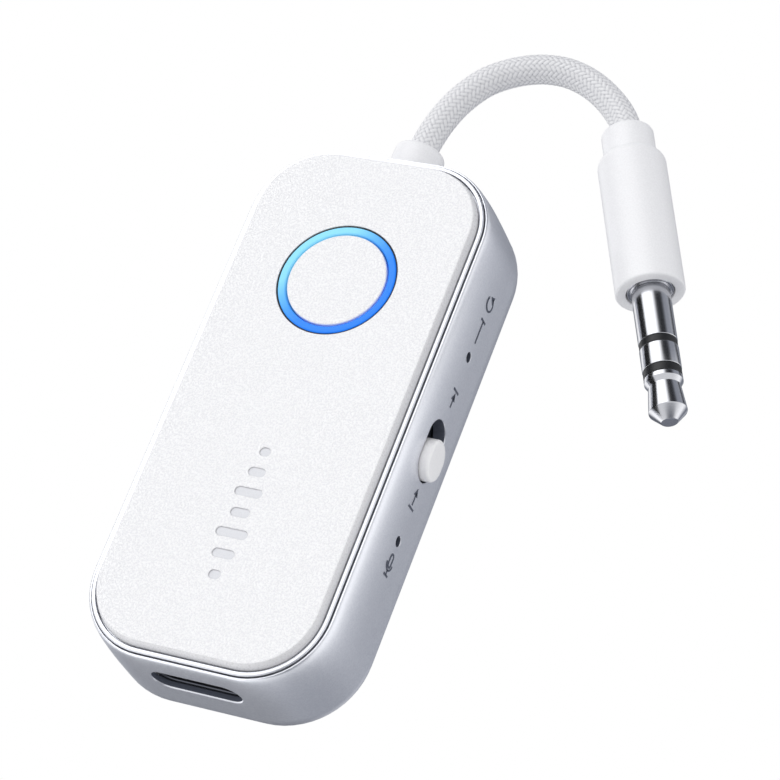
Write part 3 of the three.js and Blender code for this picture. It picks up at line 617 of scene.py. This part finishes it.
# Stainless steel, stamped and brushed lengthwise: grey with fine streaks.
steel = grained(
    "brushed_stainless_steel", ("#a9acb3", "#c6c8cd"), (0.22, 0.34), 0.12, 0.001, (1, 0.08, 1),
    metallic=1.0,
)
# Dark nickel plate over a drawn shell: its darkness is painted shade inside the port's mouth.
nickel_with_port_shade = grained(
    "dark_nickel_plate_painted_port_shade", ("#5d6068", "#696c74"), (0.28, 0.38), 0.1, 0.0005, metallic=1.0
)
# Hard gold over nickel: the port's contacts, warm and bright.
gold = grained("hard_gold_plate", ("#d8a843", "#e9c06a"), (0.18, 0.3), 0.1, 0.0005, metallic=1.0)
# Two-part ink, pad printed: dark grey, matt, with a slightly broken film.
ink = grained("pad_printed_grey_ink", ("#464b59", "#535968"), (0.5, 0.65), 0.08, 0.001)
# Satin bars laid in the floor of the pressed mark: slightly darker and smoother than the film.
mark_floor_satin = grained("satin_mark_floor", ("#dcdde2", "#e4e5e9"), (0.4, 0.5), 0.1, 0.001)
# Nylon, moulded unfilled: milky and waxy.
nylon = grained("moulded_natural_nylon", ("#d2cec2", "#dedacf"), (0.42, 0.56), 0.4, 0.004)
# Solder mask over woven glass laminate: glossy green with the weave's faint ripple.
green_mask = grained("green_solder_mask", ("#17503a", "#206146"), (0.22, 0.34), 0.5, 0.006)
# Epoxy moulding compound: sooty black with a fine sandy skin.
epoxy = grained("moulded_black_epoxy", ("#17181a", "#232427"), (0.5, 0.66), 0.1, 0.003)
# Tin-plated can or laminated pouch foil: soft grey metal with shallow dimples.
foil = grained("laminated_pouch_foil", ("#9ea2a8", "#b7babf"), (0.3, 0.45), 0.8, 0.02, metallic=0.85)
# Sintered alumina: chalky tan and perfectly matt.
ceramic = grained("sintered_tan_ceramic", ("#c2b9a5", "#d2c9b8"), (0.6, 0.75), 0.15, 0.004)
# Pressed ferrite: charcoal grey, coarse and dry.
ferrite = grained("pressed_ferrite", ("#262627", "#363637"), (0.68, 0.85), 0.18, 0.008)
# Epoxy-moulded tantalum capacitor: ochre with a faint orange peel.
tantalum = grained("moulded_ochre_epoxy", ("#c9922f", "#dba94e"), (0.4, 0.52), 0.3, 0.004)
# Foam-backed acrylic tape: off-white and porous.
tape = grained("foam_backed_tape", ("#cfcfca", "#e2e2de"), (0.7, 0.85), 0.2, 0.015)
# Silicone rubber, moulded: deep grey with a dusty bloom.
rubber = grained("moulded_silicone_rubber", ("#252527", "#303032"), (0.72, 0.85), 0.3, 0.004)
# Silicone potting over a lamp die: milky white and wet.
lamp_lens = grained("potted_lamp_silicone", ("#e6ecf5", "#f7f9fc"), (0.15, 0.25), 0.2, 0.001)
# PVC insulation, extruded: the wires' glossy red and black.
red_wire = grained("extruded_red_pvc", ("#a92822", "#bf3730"), (0.34, 0.46), 0.3, 0.003)
black_wire = grained("extruded_black_pvc", ("#1c1c20", "#29292d"), (0.34, 0.46), 0.3, 0.003)
# Enamelled copper strands: orange metal under clear varnish.
copper = grained("enamelled_copper", ("#a35a2c", "#bd7645"), (0.25, 0.4), 0.15, 0.004, metallic=0.9)

# ---- Shell ----


def shell_rows():
    """Half sizes, corner and height of every loop of the shell, from its outer floor to its inner one.

    Outside: a quarter circle at the back edge, the upright side, and a quarter ellipse in to the lip.
    Then over the lip, down to the ledge, and down the inner wall to a quarter circle at the floor.
    """
    turn = np.linspace(0, np.pi / 2, 13)
    back_inset = BACK_ROUND * (1 - np.sin(turn))
    back_z = BACK_ROUND * (1 - np.cos(turn))
    side_z = np.linspace(BACK_ROUND, SHOULDER_Z, 8)[1:-1]
    turn = np.linspace(0, np.pi / 2, 19)
    share = 1 - np.cos(turn)
    inset_x = np.concatenate([[BACK_ROUND * 1.3], back_inset, 0 * side_z, LIP_INSET_X * share])
    inset_y = np.concatenate([[BACK_ROUND * 1.3], back_inset, 0 * side_z, LIP_INSET_Y * share])
    height = np.concatenate([[0], back_z, side_z, SHOULDER_Z + (LIP_Z - SHOULDER_Z) * np.sin(turn)])
    corner = BODY_CORNER - (inset_x + inset_y) / 2
    outside = np.array([BODY_X - inset_x, BODY_Y - inset_y, corner, height])

    growth = OPENING_GROWTH + np.array([0.03, 0.01, 0, 0]) * MM
    height = np.array([LIP_Z, LIP_Z - 0.01 * MM, LIP_Z - 0.03 * MM, LEDGE_Z])
    opening = np.array([PLATE_X + growth, PLATE_Y + growth, PLATE_CORNER + growth, height])

    turn = np.linspace(np.pi / 2, 0, 7)
    inner_round = BACK_ROUND - WALL
    inset = np.concatenate([[WALL], WALL + inner_round * (1 - np.sin(turn))])
    height = np.concatenate([[LEDGE_Z], WALL + inner_round * (1 - np.cos(turn))])
    inside = np.array([BODY_X - inset, BODY_Y - inset, BODY_CORNER - inset, height])
    return np.hstack([outside, opening, inside])


def at_port(surface):
    """A surface drawn with x across, y up and z out of the end wall, stood at the port."""
    return placed(surface, (0, 0, PORT_Z), RIGHT, UP)


def on_side(surface, y, z=SIDE_Z):
    """A surface drawn with x along the receiver, y up and z out of the side wall, stood at y, z."""
    return placed(surface, (0, y, z), AHEAD, UP)


def flare(radius, face, below, past, wider):
    """A cutter's last corners: straight, then wider from below a face to past it, lengths in mm."""
    return [
        (radius, face - below * MM),
        (radius + wider * MM, face + past * MM),
        (radius + wider * MM, face + MM),
    ]


def hole_tools():
    """The port's mouth, the switch's slot, two pinholes and the cord's hole, the first four chamfered."""
    pocket = [(POCKET_GROWTH, 24 * MM), (POCKET_GROWTH, POCKET_Y), (0, POCKET_Y)]
    port = pocket + flare(0, BODY_Y, 0.1, 0.02, 0.12)
    slot = [(0, SIDE_CUT), *flare(0, BODY_X, 0.08, 0.02, 0.08)]
    flared = flare(PINHOLE_RADIUS, BODY_X, 0.05, 0.05, 0.1)
    pinhole = [(0, SIDE_CUT), (PINHOLE_RADIUS, SIDE_CUT), *flared, (0, BODY_X + MM)]
    pinhole = turned(np.array(pinhole), 48)
    relief_hole = np.array([(0, 24), (2.6, 24), (2.6, 28), (0, 28)]) * MM
    return together(
        at_port(bar(PORT_HOLE_WIDE, PORT_HOLE_HIGH, port)),
        on_side(bar(SLOT_LONG, SLOT_WIDE, slot), SLOT_Y),
        on_side(pinhole, *RESET_HOLE),
        on_side(pinhole, *MIC_HOLE),
        placed(turned(relief_hole, 64), *CORD_HOLE),
    )


def screw_bosses():
    """Four posts with blind pilot holes, standing on the shell's floor."""
    corners = [(-1, -1), (1, -1), (1, 1), (-1, 1)]
    return together(*(placed(turned(BOSS, 32), (x * SCREW_X, y * SCREW_Y, 0)) for x, y in corners))


shell = make_piece(
    "shell_body", skin(rounded_loops(*shell_rows()), caps=True),
    silver_paint, "back_shell", "silver_paint",
)
carve(shell, screw_bosses(), "UNION")
carve(shell, hole_tools())


# How far from the middle the side's holes lie, and how little a hole's wall faces along the hole.
SIDE_HOLES_Y = 11 * MM
LITTLE_ALONG = 0.3


def mark_bare_and_shaded_faces(piece):
    """Marks the faces drawn dark grey: the inside, which the spray doesn't reach, and the walls of the
    holes, where the dark grey is painted shade.

    Inside is what lies within the hollow's rounded outline. A hole's wall lies between the hollow and
    the outside and faces across the hole, so its normal has almost no part along the hole.
    """
    mesh = piece.data
    centre, normal = np.empty((2, len(mesh.polygons) * 3))
    mesh.polygons.foreach_get("center", centre)
    mesh.polygons.foreach_get("normal", normal)
    (x, y, z), (along_x, along_y, _) = centre.reshape(-1, 3).T, np.abs(normal.reshape(-1, 3)).T
    past_x = np.maximum(np.abs(x) - BODY_X + BODY_CORNER, 0)
    past_y = np.maximum(np.abs(y) - BODY_Y + BODY_CORNER, 0)
    hollow = (np.hypot(past_x, past_y) < BODY_CORNER - WALL + MERGE) & (z > WALL - MERGE)
    side_holes = (x > BODY_X - WALL) & (np.abs(y) < SIDE_HOLES_Y) & (along_x < LITTLE_ALONG)
    mouth_half = PORT_HOLE_WIDE / 2 + 0.01 * MM
    mouth = (y < WALL - BODY_Y) & (np.abs(x) < mouth_half) & (along_y < LITTLE_ALONG)
    holes = (side_holes | mouth) & (z > BACK_ROUND) & (z < LEDGE_Z)
    # 1 marks the dark grey faces: the unpainted inside, and the hole walls with painted shade.
    bare_and_shaded = np.where(hollow | holes, 1.0, 0.0)
    mesh.attributes.new("bare_and_shaded", "FLOAT", "FACE").data.foreach_set("value", bare_and_shaded)


mark_bare_and_shaded_faces(shell)

# ---- Front: frame, plate, ring, cap ----


def plate_stack(corners, radii):
    """Loops that follow the plate's outline, as a solid: pairs of growth from its edge, and height."""
    growth, height = profile_of(corners, radii).T
    return skin(rounded_loops(PLATE_X + growth, PLATE_Y + growth, PLATE_CORNER + growth, height), caps=True)


def round_hole(radius, chamfer=0.0):
    """A cutter for a round hole about the button's axis, flared by a chamfer at the plate's top."""
    low, high, wide = 8 * MM, 14 * MM, radius + 2 * chamfer
    straight = [(0, low), (radius, low), (radius, PLATE_TOP - chamfer)]
    profile = straight + [(wide, PLATE_TOP + chamfer), (wide, high), (0, high)]
    return placed(turned(np.array(profile), 128), BUTTON)


FRAME_CORNERS = [(-2, 9.75), (0.76, 9.75), (0.76, 11.27), (0.38, 11.27), (0.38, 10.75), (-2, 10.75)]
front_frame = make_piece(
    "front_frame_rim",
    plate_stack(FRAME_CORNERS, [0, 0.08, 0.12, 0.07, 0.05, 0]),
    silver_paint, "front_frame", "silver_paint",
)
carve(front_frame, round_hole(FRAME_HOLE))

PLATE_CORNERS = [(-2, 11), (0.25, 11), (0.25, 11.25), (0.015, 11.955), (-2, 11.955)]
plate = make_piece(
    "front_plate_moulding",
    plate_stack(PLATE_CORNERS, [0, 0.05, 0.12, 0.05, 0]),
    plate_abs_painted_side_shade, "front_plate", "white_grain",
)
FILM_CORNERS = [(-2, 11.9), (-0.05, 11.9), (-0.05, 12), (-2, 12)]
film = make_piece("front_plate_film", plate_stack(FILM_CORNERS, [0, 0, 0.05, 0]), white_film)

# The pressed mark: seven sound-level bars across the lower half of the plate.
MARK_Y = -11.5 * MM
MARK_PITCH = 2 * MM
MARK_WIDE = 0.8 * MM
MARK_LEVELS = np.array([1.1, 2.1, 3.0, 1.8, 2.6, 1.6, 1.0]) * MM
MARK_DEPTH = 0.14 * MM


def mark_bars(profile):
    """One bar for each level, long across the plate, a pitch apart along it."""
    middle = (len(MARK_LEVELS) - 1) / 2
    return together(*(
        placed(bar(long, MARK_WIDE, profile), (0, MARK_Y + (place - middle) * MARK_PITCH, PLATE_TOP))
        for place, long in enumerate(MARK_LEVELS)
    ))


for layer in (plate, film):
    carve(layer, together(
        round_hole(PLATE_HOLE, 0.03 * MM),
        mark_bars([(0, -MARK_DEPTH), (0.02 * MM, -0.05 * MM), (0.12 * MM, 0.05 * MM), (0.12 * MM, MM)]),
    ))
make_piece(
    "plate_mark_floor",
    mark_bars([(-0.01 * MM, -MARK_DEPTH - 0.02 * MM), (-0.01 * MM, -MARK_DEPTH + 0.01 * MM)]),
    mark_floor_satin,
)


ring_corners = [(4.79, 8.9), (6.9, 8.9), (6.9, 9.6), (5.5, 9.6), (5.5, 12), (4.79, 12)]
make_piece(
    "light_ring_lens", lathe(BUTTON_AXIS, ring_corners, [0, 0.1, 0.1, 0.1, 0.14, 0.14], 128),
    blue_light, "light_ring", "blue_light",
)
# A dark rubber ring sunk in the gap round the light ring: painted shade in that gap, which also keeps the
# ring's glow out of it.
seal_and_gap_shade_corners = [(5.51, 11.05), (5.64, 11.05), (5.64, 11.9), (5.51, 11.9)]
make_piece("ring_seal_painted_gap_shade", lathe(BUTTON_AXIS, seal_and_gap_shade_corners, [0, 0.02, 0.02, 0.02], 128), rubber)
cap_corners = [(0, 10.9), (4.64, 10.9), (4.64, 12), (0, 12)]
make_piece(
    "button_cap_grained", lathe(BUTTON_AXIS, cap_corners, [0, 0.05, 0.14, 0], 128),
    white_film, "button_cap", "white_grain", body="button",
)

# ---- Side knob ----

knob_profile = profile_of([(-1, 10.9), (0, 10.9), (0, 13), (-1, 13)], [0, 0.05, 0.3, 0])
knob = make_piece(
    "mode_knob", on_side(bar(KNOB_LONG, KNOB_WIDE, knob_profile, corner_steps=16), KNOB_Y),
    white_acetal, "slide_knob", "white_satin", body="mode_slider",
)
carve(knob, on_side(block(*KNOB_TAIL), KNOB_Y), "UNION")
carve(knob, on_side(block(*KNOB_FORK), KNOB_Y))

# ---- Charging port ----

PORT_OUT = -port_low.y
PORT_IN = -port_high.y
PORT_WIDE = port_high.x - port_low.x
PORT_HIGH = port_high.z - port_low.z
BASE_GAP = 0.9 * MM
BASE_OUT = 20.1 * MM
TONGUE_WIDE = 6.7 * MM
TONGUE_THICK = 0.7 * MM
TONGUE_CORNER = 0.16 * MM
CONTACTS_A_SIDE = 12
CONTACT_PITCH = 0.5
CONTACT_HALF = np.array([0.13, 0.02, 1.7])
CONTACT_RISE = 0.36
CONTACT_OUT = 22.7


def port_shell():
    """A deep-drawn obround tube: inner and outer loops joined round both ends, the mouth rounded."""
    corners = [(-PORT_WALL, PORT_IN), (0, PORT_IN), (0, PORT_OUT), (-PORT_WALL, PORT_OUT)]
    growth, height = filleted(corners, np.array([0, 0, 0.1, 0.14]) * MM).T
    half_x, half_y = PORT_WIDE / 2, PORT_HIGH / 2
    loops = rounded_loops(half_x + growth, half_y + growth, half_y + growth, height, 16, 3)
    return at_port(skin(loops, closed=True))


# The port's shell in darkened nickel: painted shade inside the mouth.
make_piece("port_shell_drawn", port_shell(), nickel_with_port_shade, "usb_c_shell", "steel")
tongue = make_piece(
    "port_tongue",
    at_port(bar(PORT_WIDE - BASE_GAP, PORT_HIGH - BASE_GAP, [(0, PORT_IN), (0, BASE_OUT)])),
    port_polymer, "usb_c_tongue", "black_plastic",
)
tongue_profile = [(0, 20 * MM), (0, 24.6 * MM), (-0.12 * MM, 24.8 * MM)]
carve(tongue, at_port(bar(TONGUE_WIDE, TONGUE_THICK, tongue_profile, TONGUE_CORNER)), "UNION")
middles = [
    (x, y, CONTACT_OUT)
    for x in (np.arange(CONTACTS_A_SIDE) - (CONTACTS_A_SIDE - 1) / 2) * CONTACT_PITCH
    for y in (-CONTACT_RISE, CONTACT_RISE)
]
contacts = together(*(
    block((middle - CONTACT_HALF) * MM, (middle + CONTACT_HALF) * MM) for middle in middles
))
make_piece("port_contacts", at_port(contacts), gold)

# ---- Strain relief and cord ----

relief_corners = [(1.43, 23.4), (3.2, 23.4), (3.2, 24.6), (2.45, 24.6), (2.4, 29.8), (1.43, 29.8)]
relief = make_piece(
    "strain_relief_boot", lathe(CORD_HOLE, relief_corners, [0, 0.15, 0.15, 0.1, 0.62, 0.12]),
    white_abs, "strain_relief", "white_satin",
)

YARNS = 16
YARN_PITCH = 0.54 * MM
YARN_THICK = 0.07 * MM
YARN_WEAVE = 0.04 * MM
BRAID_STEP = 0.075 * MM
BRAID_COLUMNS = 132


def braided_cord():
    """A tube whose radius follows a two-over-two braid of sixteen yarns each way.

    Yarn counts: u = yarns x turn + length / pitch, v = yarns x turn - length / pitch, plus whole turns
    so that neither is negative. Across each yarn the height is a round crown,
    (1 - |2 x fraction - 1| ^ 2.5) ^ 0.6. Each family also rises and dips as the sine of a quarter of
    its partner's count, times 1.6 and clipped to 1, so it lies over two and under the next two, which
    draws rows of chevrons along the cord. The radius is the higher of the two families.
    """
    line = smooth_line(CORD_ROUTE, BRAID_STEP)
    side, rise = directions_along(line)
    length = np.arange(len(line))[:, None] * CORD_LENGTH / (len(line) - 1)
    turn = np.linspace(-0.25, 0.75, BRAID_COLUMNS + 1)[None, :]
    first = YARNS * turn + length / YARN_PITCH + 4 * YARNS
    second = YARNS * turn - length / YARN_PITCH + 8 * YARNS
    crowns = [(1 - np.abs(2 * (count % 1) - 1) ** 2.5) ** 0.6 for count in (first, second)]
    first_wave = np.clip(1.6 * np.sin((np.floor(first) + second) * np.pi / 2), -1, 1)
    second_wave = -np.clip(1.6 * np.sin((first + np.floor(second)) * np.pi / 2), -1, 1)
    first_height = YARN_THICK * crowns[0] + YARN_WEAVE * first_wave
    second_height = YARN_THICK * crowns[1] + YARN_WEAVE * second_wave
    height = np.maximum(first_height, second_height)
    radius = (CORD_RADIUS - YARN_THICK - YARN_WEAVE + height)[..., None]
    angle = (2 * np.pi * turn)[..., None]
    grid = line[:, None] + radius * (np.cos(angle) * side[:, None] + np.sin(angle) * rise[:, None])
    index = np.arange(grid.shape[0] * grid.shape[1]).reshape(grid.shape[:2])
    quads = np.stack([index[:-1, :-1], index[:-1, 1:], index[1:, 1:], index[1:, :-1]], -1)
    faces = quads.reshape(-1, 4).tolist() + [index[0, :0:-1].tolist(), index[-1, 1:].tolist()]
    over = (first_height > second_height).ravel().astype(float)
    crown = (height / (YARN_THICK + YARN_WEAVE)).ravel()
    places = np.stack([first, second], -1).reshape(-1, 2)
    return line, (grid.reshape(-1, 3), faces), places, {"over": over, "crown": crown}


line, surface, places, values = braided_cord()
cord = make_piece("cord_braided", surface, white_yarn, "cord", "braid", places=places, values=values)

# ---- Plug, turned about its own axis: height 0 is the barrel's end face, and the tip is at + ----

collar_corners = [(1.43, -17.7), (2.42, -17.7), (2.42, -12.4), (1.43, -12.4)]
collar = make_piece(
    "plug_collar_sleeve", lathe(PLUG, collar_corners, [0.12, 0.35, 0, 0]),
    white_abs, "plug_collar", "white_satin",
)

barrel_shoulder = arc(2.05, -13.8, 1.1, -65, 0, 12)
barrel_end = [(3.15, 0), (2.2, 0), (2.2, -0.85), (2.5, -0.85), (2.5, -13.5), (2.46, -13.5)]
barrel_radii = [0] * len(barrel_shoulder) + [0.22, 0.1, 0, 0, 0, 0]
barrel = make_piece(
    "plug_barrel_shell", lathe(PLUG, np.vstack([barrel_shoulder, barrel_end]), barrel_radii, 128),
    white_abs, "plug_barrel", "white_satin",
)

sleeve_back = [(0.6, -5), (1.1, -5), (1.1, -1.7), (2.42, -1.7), (2.42, -0.95), (2.1, -0.95)]
sleeve_steps = [(2.1, -0.15), (1.98, -0.15), (1.98, -0.32), (1.87, -0.32), (1.87, -0.15), (1.75, -0.15)]
sleeve_corners = sleeve_back + sleeve_steps + [(1.75, 5.3), (0.6, 5.3)]
sleeve = make_piece(
    "jack_sleeve_contact", lathe(PLUG, sleeve_corners, [0] * 6 + [0.04] * 6 + [0.06, 0]),
    nickel, "jack_sleeve", "jack_metal",
)


def jack_segment(name, low, high, radius, material, stands_for, slot):
    """A short tube of the jack round the tip's pin, with slightly rounded edges."""
    corners = [(0.6, low), (radius, low), (radius, high), (0.6, high)]
    return make_piece(name, lathe(PLUG, corners, [0, 0.05, 0.05, 0]), material, stands_for, slot)


band_1 = jack_segment("jack_band_lower", 5.33, 6, 1.72, black_pbt, "jack_band_1", "black_plastic")
jack_ring = jack_segment("jack_ring_contact", 6.03, 8.2, 1.75, nickel, "jack_ring", "jack_metal")
band_2 = jack_segment("jack_band_upper", 8.23, 9, 1.72, black_pbt, "jack_band_2", "black_plastic")
tip_pin = [(0, -6), (0.45, -6), (0.45, 9.03)]
tip_head = [(1.73, 9.03), (1.73, 9.45), (1.45, 9.9), (1.72, 12.4), (0.75, 13.43), (0, 13.43)]
tip = make_piece(
    "jack_tip_contact", lathe(PLUG, tip_pin + tip_head, [0, 0, 0, 0.05, 0.08, 0.2, 0.16, 0.12, 0]),
    nickel, "jack_tip", "jack_metal",
)

# ---- Printed marks on the +X wall: x along the receiver, y up, z out of the wall ----

INK_THICK = 0.03 * MM
INK_WIDE = 0.2 * MM
INK_SUNK = 0.012 * MM


def stroke(points):
    """A printed line: a thin rectangle carried along the points, which are in millimetres."""
    half = INK_WIDE / 2
    section = [(-half, -INK_THICK), (half, -INK_THICK), (half, INK_THICK), (-half, INK_THICK)]
    return carried(section, at_height(np.asarray(points, float) * MM, 0))


def arrow_head(x, y, angle, size=0.55):
    """A printed triangle with its point at x, y, which an angle in degrees aims."""
    corners = np.array([(0, 0), (-1.3, 0.75), (-1.3, -0.75)]) * size * MM
    way = math.radians(angle)
    spun = corners @ np.array([(math.cos(way), math.sin(way)), (-math.sin(way), math.cos(way))])
    spun += np.array([x, y]) * MM
    return skin(np.array([at_height(spun, level) for level in (-INK_THICK, INK_THICK)]), caps=True)


def print_mark(name, y, z, *parts):
    """Puts a mark's parts on the wall, its own origin at y, z in millimetres."""
    make_piece(name, placed(together(*parts), (BODY_X - INK_SUNK, y * MM, z * MM), AHEAD, UP), ink)


# Reset: press with a pin, and a turning arrow.
print_mark(
    "mark_reset", 11.2, 6.3,
    stroke([(0, 0), (2.3, 0)]),
    stroke([(2.3, -0.55), (2.3, 0.55)]),
    stroke(arc(4.1, 0, 0.68, 50, 340)),
    arrow_head(4.78, 0.2, 80),
)
# Receive: an arrow arriving at a bar. Send: an arrow leaving one.
print_mark(
    "mark_receive", 4.3, 6.3,
    stroke([(0.3, 0), (1.5, 0)]), arrow_head(1.75, 0, 0), stroke([(1.95, -0.6), (1.95, 0.6)]),
)
print_mark(
    "mark_send", -5.6, 6.3,
    stroke([(0.1, -0.6), (0.1, 0.6)]), stroke([(0.4, 0), (1.6, 0)]), arrow_head(2, 0, 0),
)
# Microphone: a capsule in a cradle on a foot.
print_mark(
    "mark_microphone", -11.6, 6.2,
    stroke(np.vstack([arc(1.25, 0, 0.3, -90, 90), arc(0.65, 0, 0.3, 90, 270), [(1.25, -0.3)]])),
    stroke(arc(0.7, 0, 0.62, 90, 270)),
    stroke([(0.08, 0), (-0.4, 0)]),
    stroke([(-0.4, -0.45), (-0.4, 0.45)]),
)

# ---- Finishes of the pieces that keep their CAD shape ----

KEPT_NODES = [
    (tape, "plate_film battery_tape"),
    (nylon, "button_carrier plug_core"),
    (steel, "main_switch_body slide_switch_frame reset_switch_body"),
    (steel, "board_screw_1 board_screw_2 board_screw_3 board_screw_4"),
    (black_pbt, "main_switch_plunger slide_switch_actuator reset_plunger"),
    # The shutter behind the slot is dark moulding, which also stands for the shade inside the slot: painted
    # shade.
    (port_polymer, "slide_shutter"),
    (green_mask, "circuit_board"),
    (epoxy, "bluetooth_chip charger_chip"),
    (foil, "crystal battery microphone"),
    (ceramic, "chip_antenna"),
    (ferrite, "power_inductor"),
    (tantalum, "audio_capacitor_left audio_capacitor_right"),
    (lamp_lens, "ring_lamp_1 ring_lamp_2 ring_lamp_3 ring_lamp_4"),
    (red_wire, "battery_wire_red audio_wire_right"),
    (black_wire, "battery_wire_black audio_wire_ground"),
    (copper, "audio_wire_left"),
    (rubber, "microphone_boot"),
]
for material, nodes in KEPT_NODES:
    for node in nodes.split():
        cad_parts[node].material_slots[0].material = material

# ---- Floor, light ----


def one_sided_sheet(name, material_name, corners, colour, unseen_by):
    """A flat sheet of even light, see-through from behind; unseen_by names the rays that miss it."""
    mesh = bpy.data.meshes.new(name)
    mesh.from_pydata(corners, [], [[0, 1, 2, 3]])
    sheet = new_object(name, mesh)
    for ray in (unseen_by, "diffuse", "transmission", "volume_scatter", "shadow"):
        setattr(sheet, f"visible_{ray}", False)
    material = bpy.data.materials.new(material_name)
    tree = fresh_tree(material)
    side = add_node(tree, "NewGeometry")
    light = add_node(tree, "Emission", {"Color": linear(colour)})
    clear = add_node(tree, "BsdfTransparent")
    show_either(tree, "OutputMaterial", side.outputs["Backfacing"], light, clear)
    mesh.materials.append(material)


def seamless_floor():
    """White paper just under the object that only the camera sees: light still comes from below."""
    half, height = 1.0, -0.02 * MM
    one_sided_sheet("floor", "paper_sweep", at_height(QUARTERS * half, height), "#ffffff", "glossy")


# The tent round the object: its light at each height, by the sine of the elevation.
TENT = [
    (-1, 0.85), (-0.93, 0.5), (-0.87, 0.2), (-0.8, 0.28), (-0.7, 0.6),
    (-0.6, 1.1), (-0.42, 1.5), (0, 1.15), (0.3, 0.95), (1, 0.95),
]

# Cards hung in the tent: azimuth and elevation in degrees, where the card is full and where it has
# faded out in degrees from its middle, and its light. The dark ones shade the walls and the corners
# and draw the stripes on the plug; the two bright ones light the front and the port's shoulder.
CARDS = [
    (-54, 6, 16, 41, 0.15),
    (-136, -60, 10, 29, 0.12),
    (80, 0, 16, 48, 0.36),
    (66, 34, 9, 28, 0.02),
    (66, -34, 4, 15, 0.06),
    (136, 54, 6, 36, 2.2),
    (178, 6, 8, 24, 0.1),
    (133, -55, 10, 38, 0.2),
    (-46, -60, 8, 30, 0.25),
    (-118, -24, 7, 20, 1.9),
]


def tent_colour(light):
    """White where the tent is bright, turning bluer where it is dim."""
    shade = 1 - min(light, 1)
    return (light * (1 - 0.1 * shade), light * (1 - 0.02 * shade), light * (1 + 0.2 * shade), 1)


def studio_world():
    """White behind the object. Round it a white tent, dim low down, with dark and bright cards."""
    world = bpy.data.worlds.new("studio")
    bpy.context.scene.world = world
    tree = fresh_tree(world)
    way = add_node(tree, "TexCoord").outputs["Generated"]
    parts = add_node(tree, "SeparateXYZ", {"Vector": way})
    height = map_range(tree, parts.outputs["Z"], -1.0, 1.0)
    light = colour_ramp(tree, height, [((sine + 1) / 2, tent_colour(level)) for sine, level in TENT])
    for azimuth, elevation, full, faded, card in CARDS:
        turn, rise = np.radians([azimuth, elevation])
        middle = (np.cos(rise) * np.cos(turn), np.cos(rise) * np.sin(turn), np.sin(rise))
        start, end = np.cos(np.radians([faded, full])).tolist()
        share = map_range(tree, dot(tree, way, middle), start, end, curve="SMOOTHSTEP")
        light = mix_colours(tree, share, light, tent_colour(card))
    tent = add_node(tree, "Background", {"Color": light})
    white = add_node(tree, "Background", {"Color": linear("#ffffff")})
    ray = add_node(tree, "LightPath")
    show_either(tree, "OutputWorld", ray.outputs["Is Camera Ray"], tent, white)


def black_flag(out, rises, places):
    """A black card between the plug and the body, seen from the plug's side and in reflections only.

    It draws the dark stripe on the jack. It stands out mm from the plug's axis, between two heights
    over it and two places along it.
    """
    outwards = np.cross(UP, PLUG_AXIS)
    (low, high), (back, front) = rises, places
    corners = [(low, back), (high, back), (high, front), (low, front)]
    points = [PLUG_FACE + MM * (out * outwards + up * UP + on * PLUG_AXIS) for up, on in corners]
    one_sided_sheet("flag", "black_flocked_card", points, "#060607", "camera")


seamless_floor()
studio_world()
black_flag(-4, (1.3, 4.6), (-5, 16))
bpy.context.scene.view_settings.view_transform = "Standard"
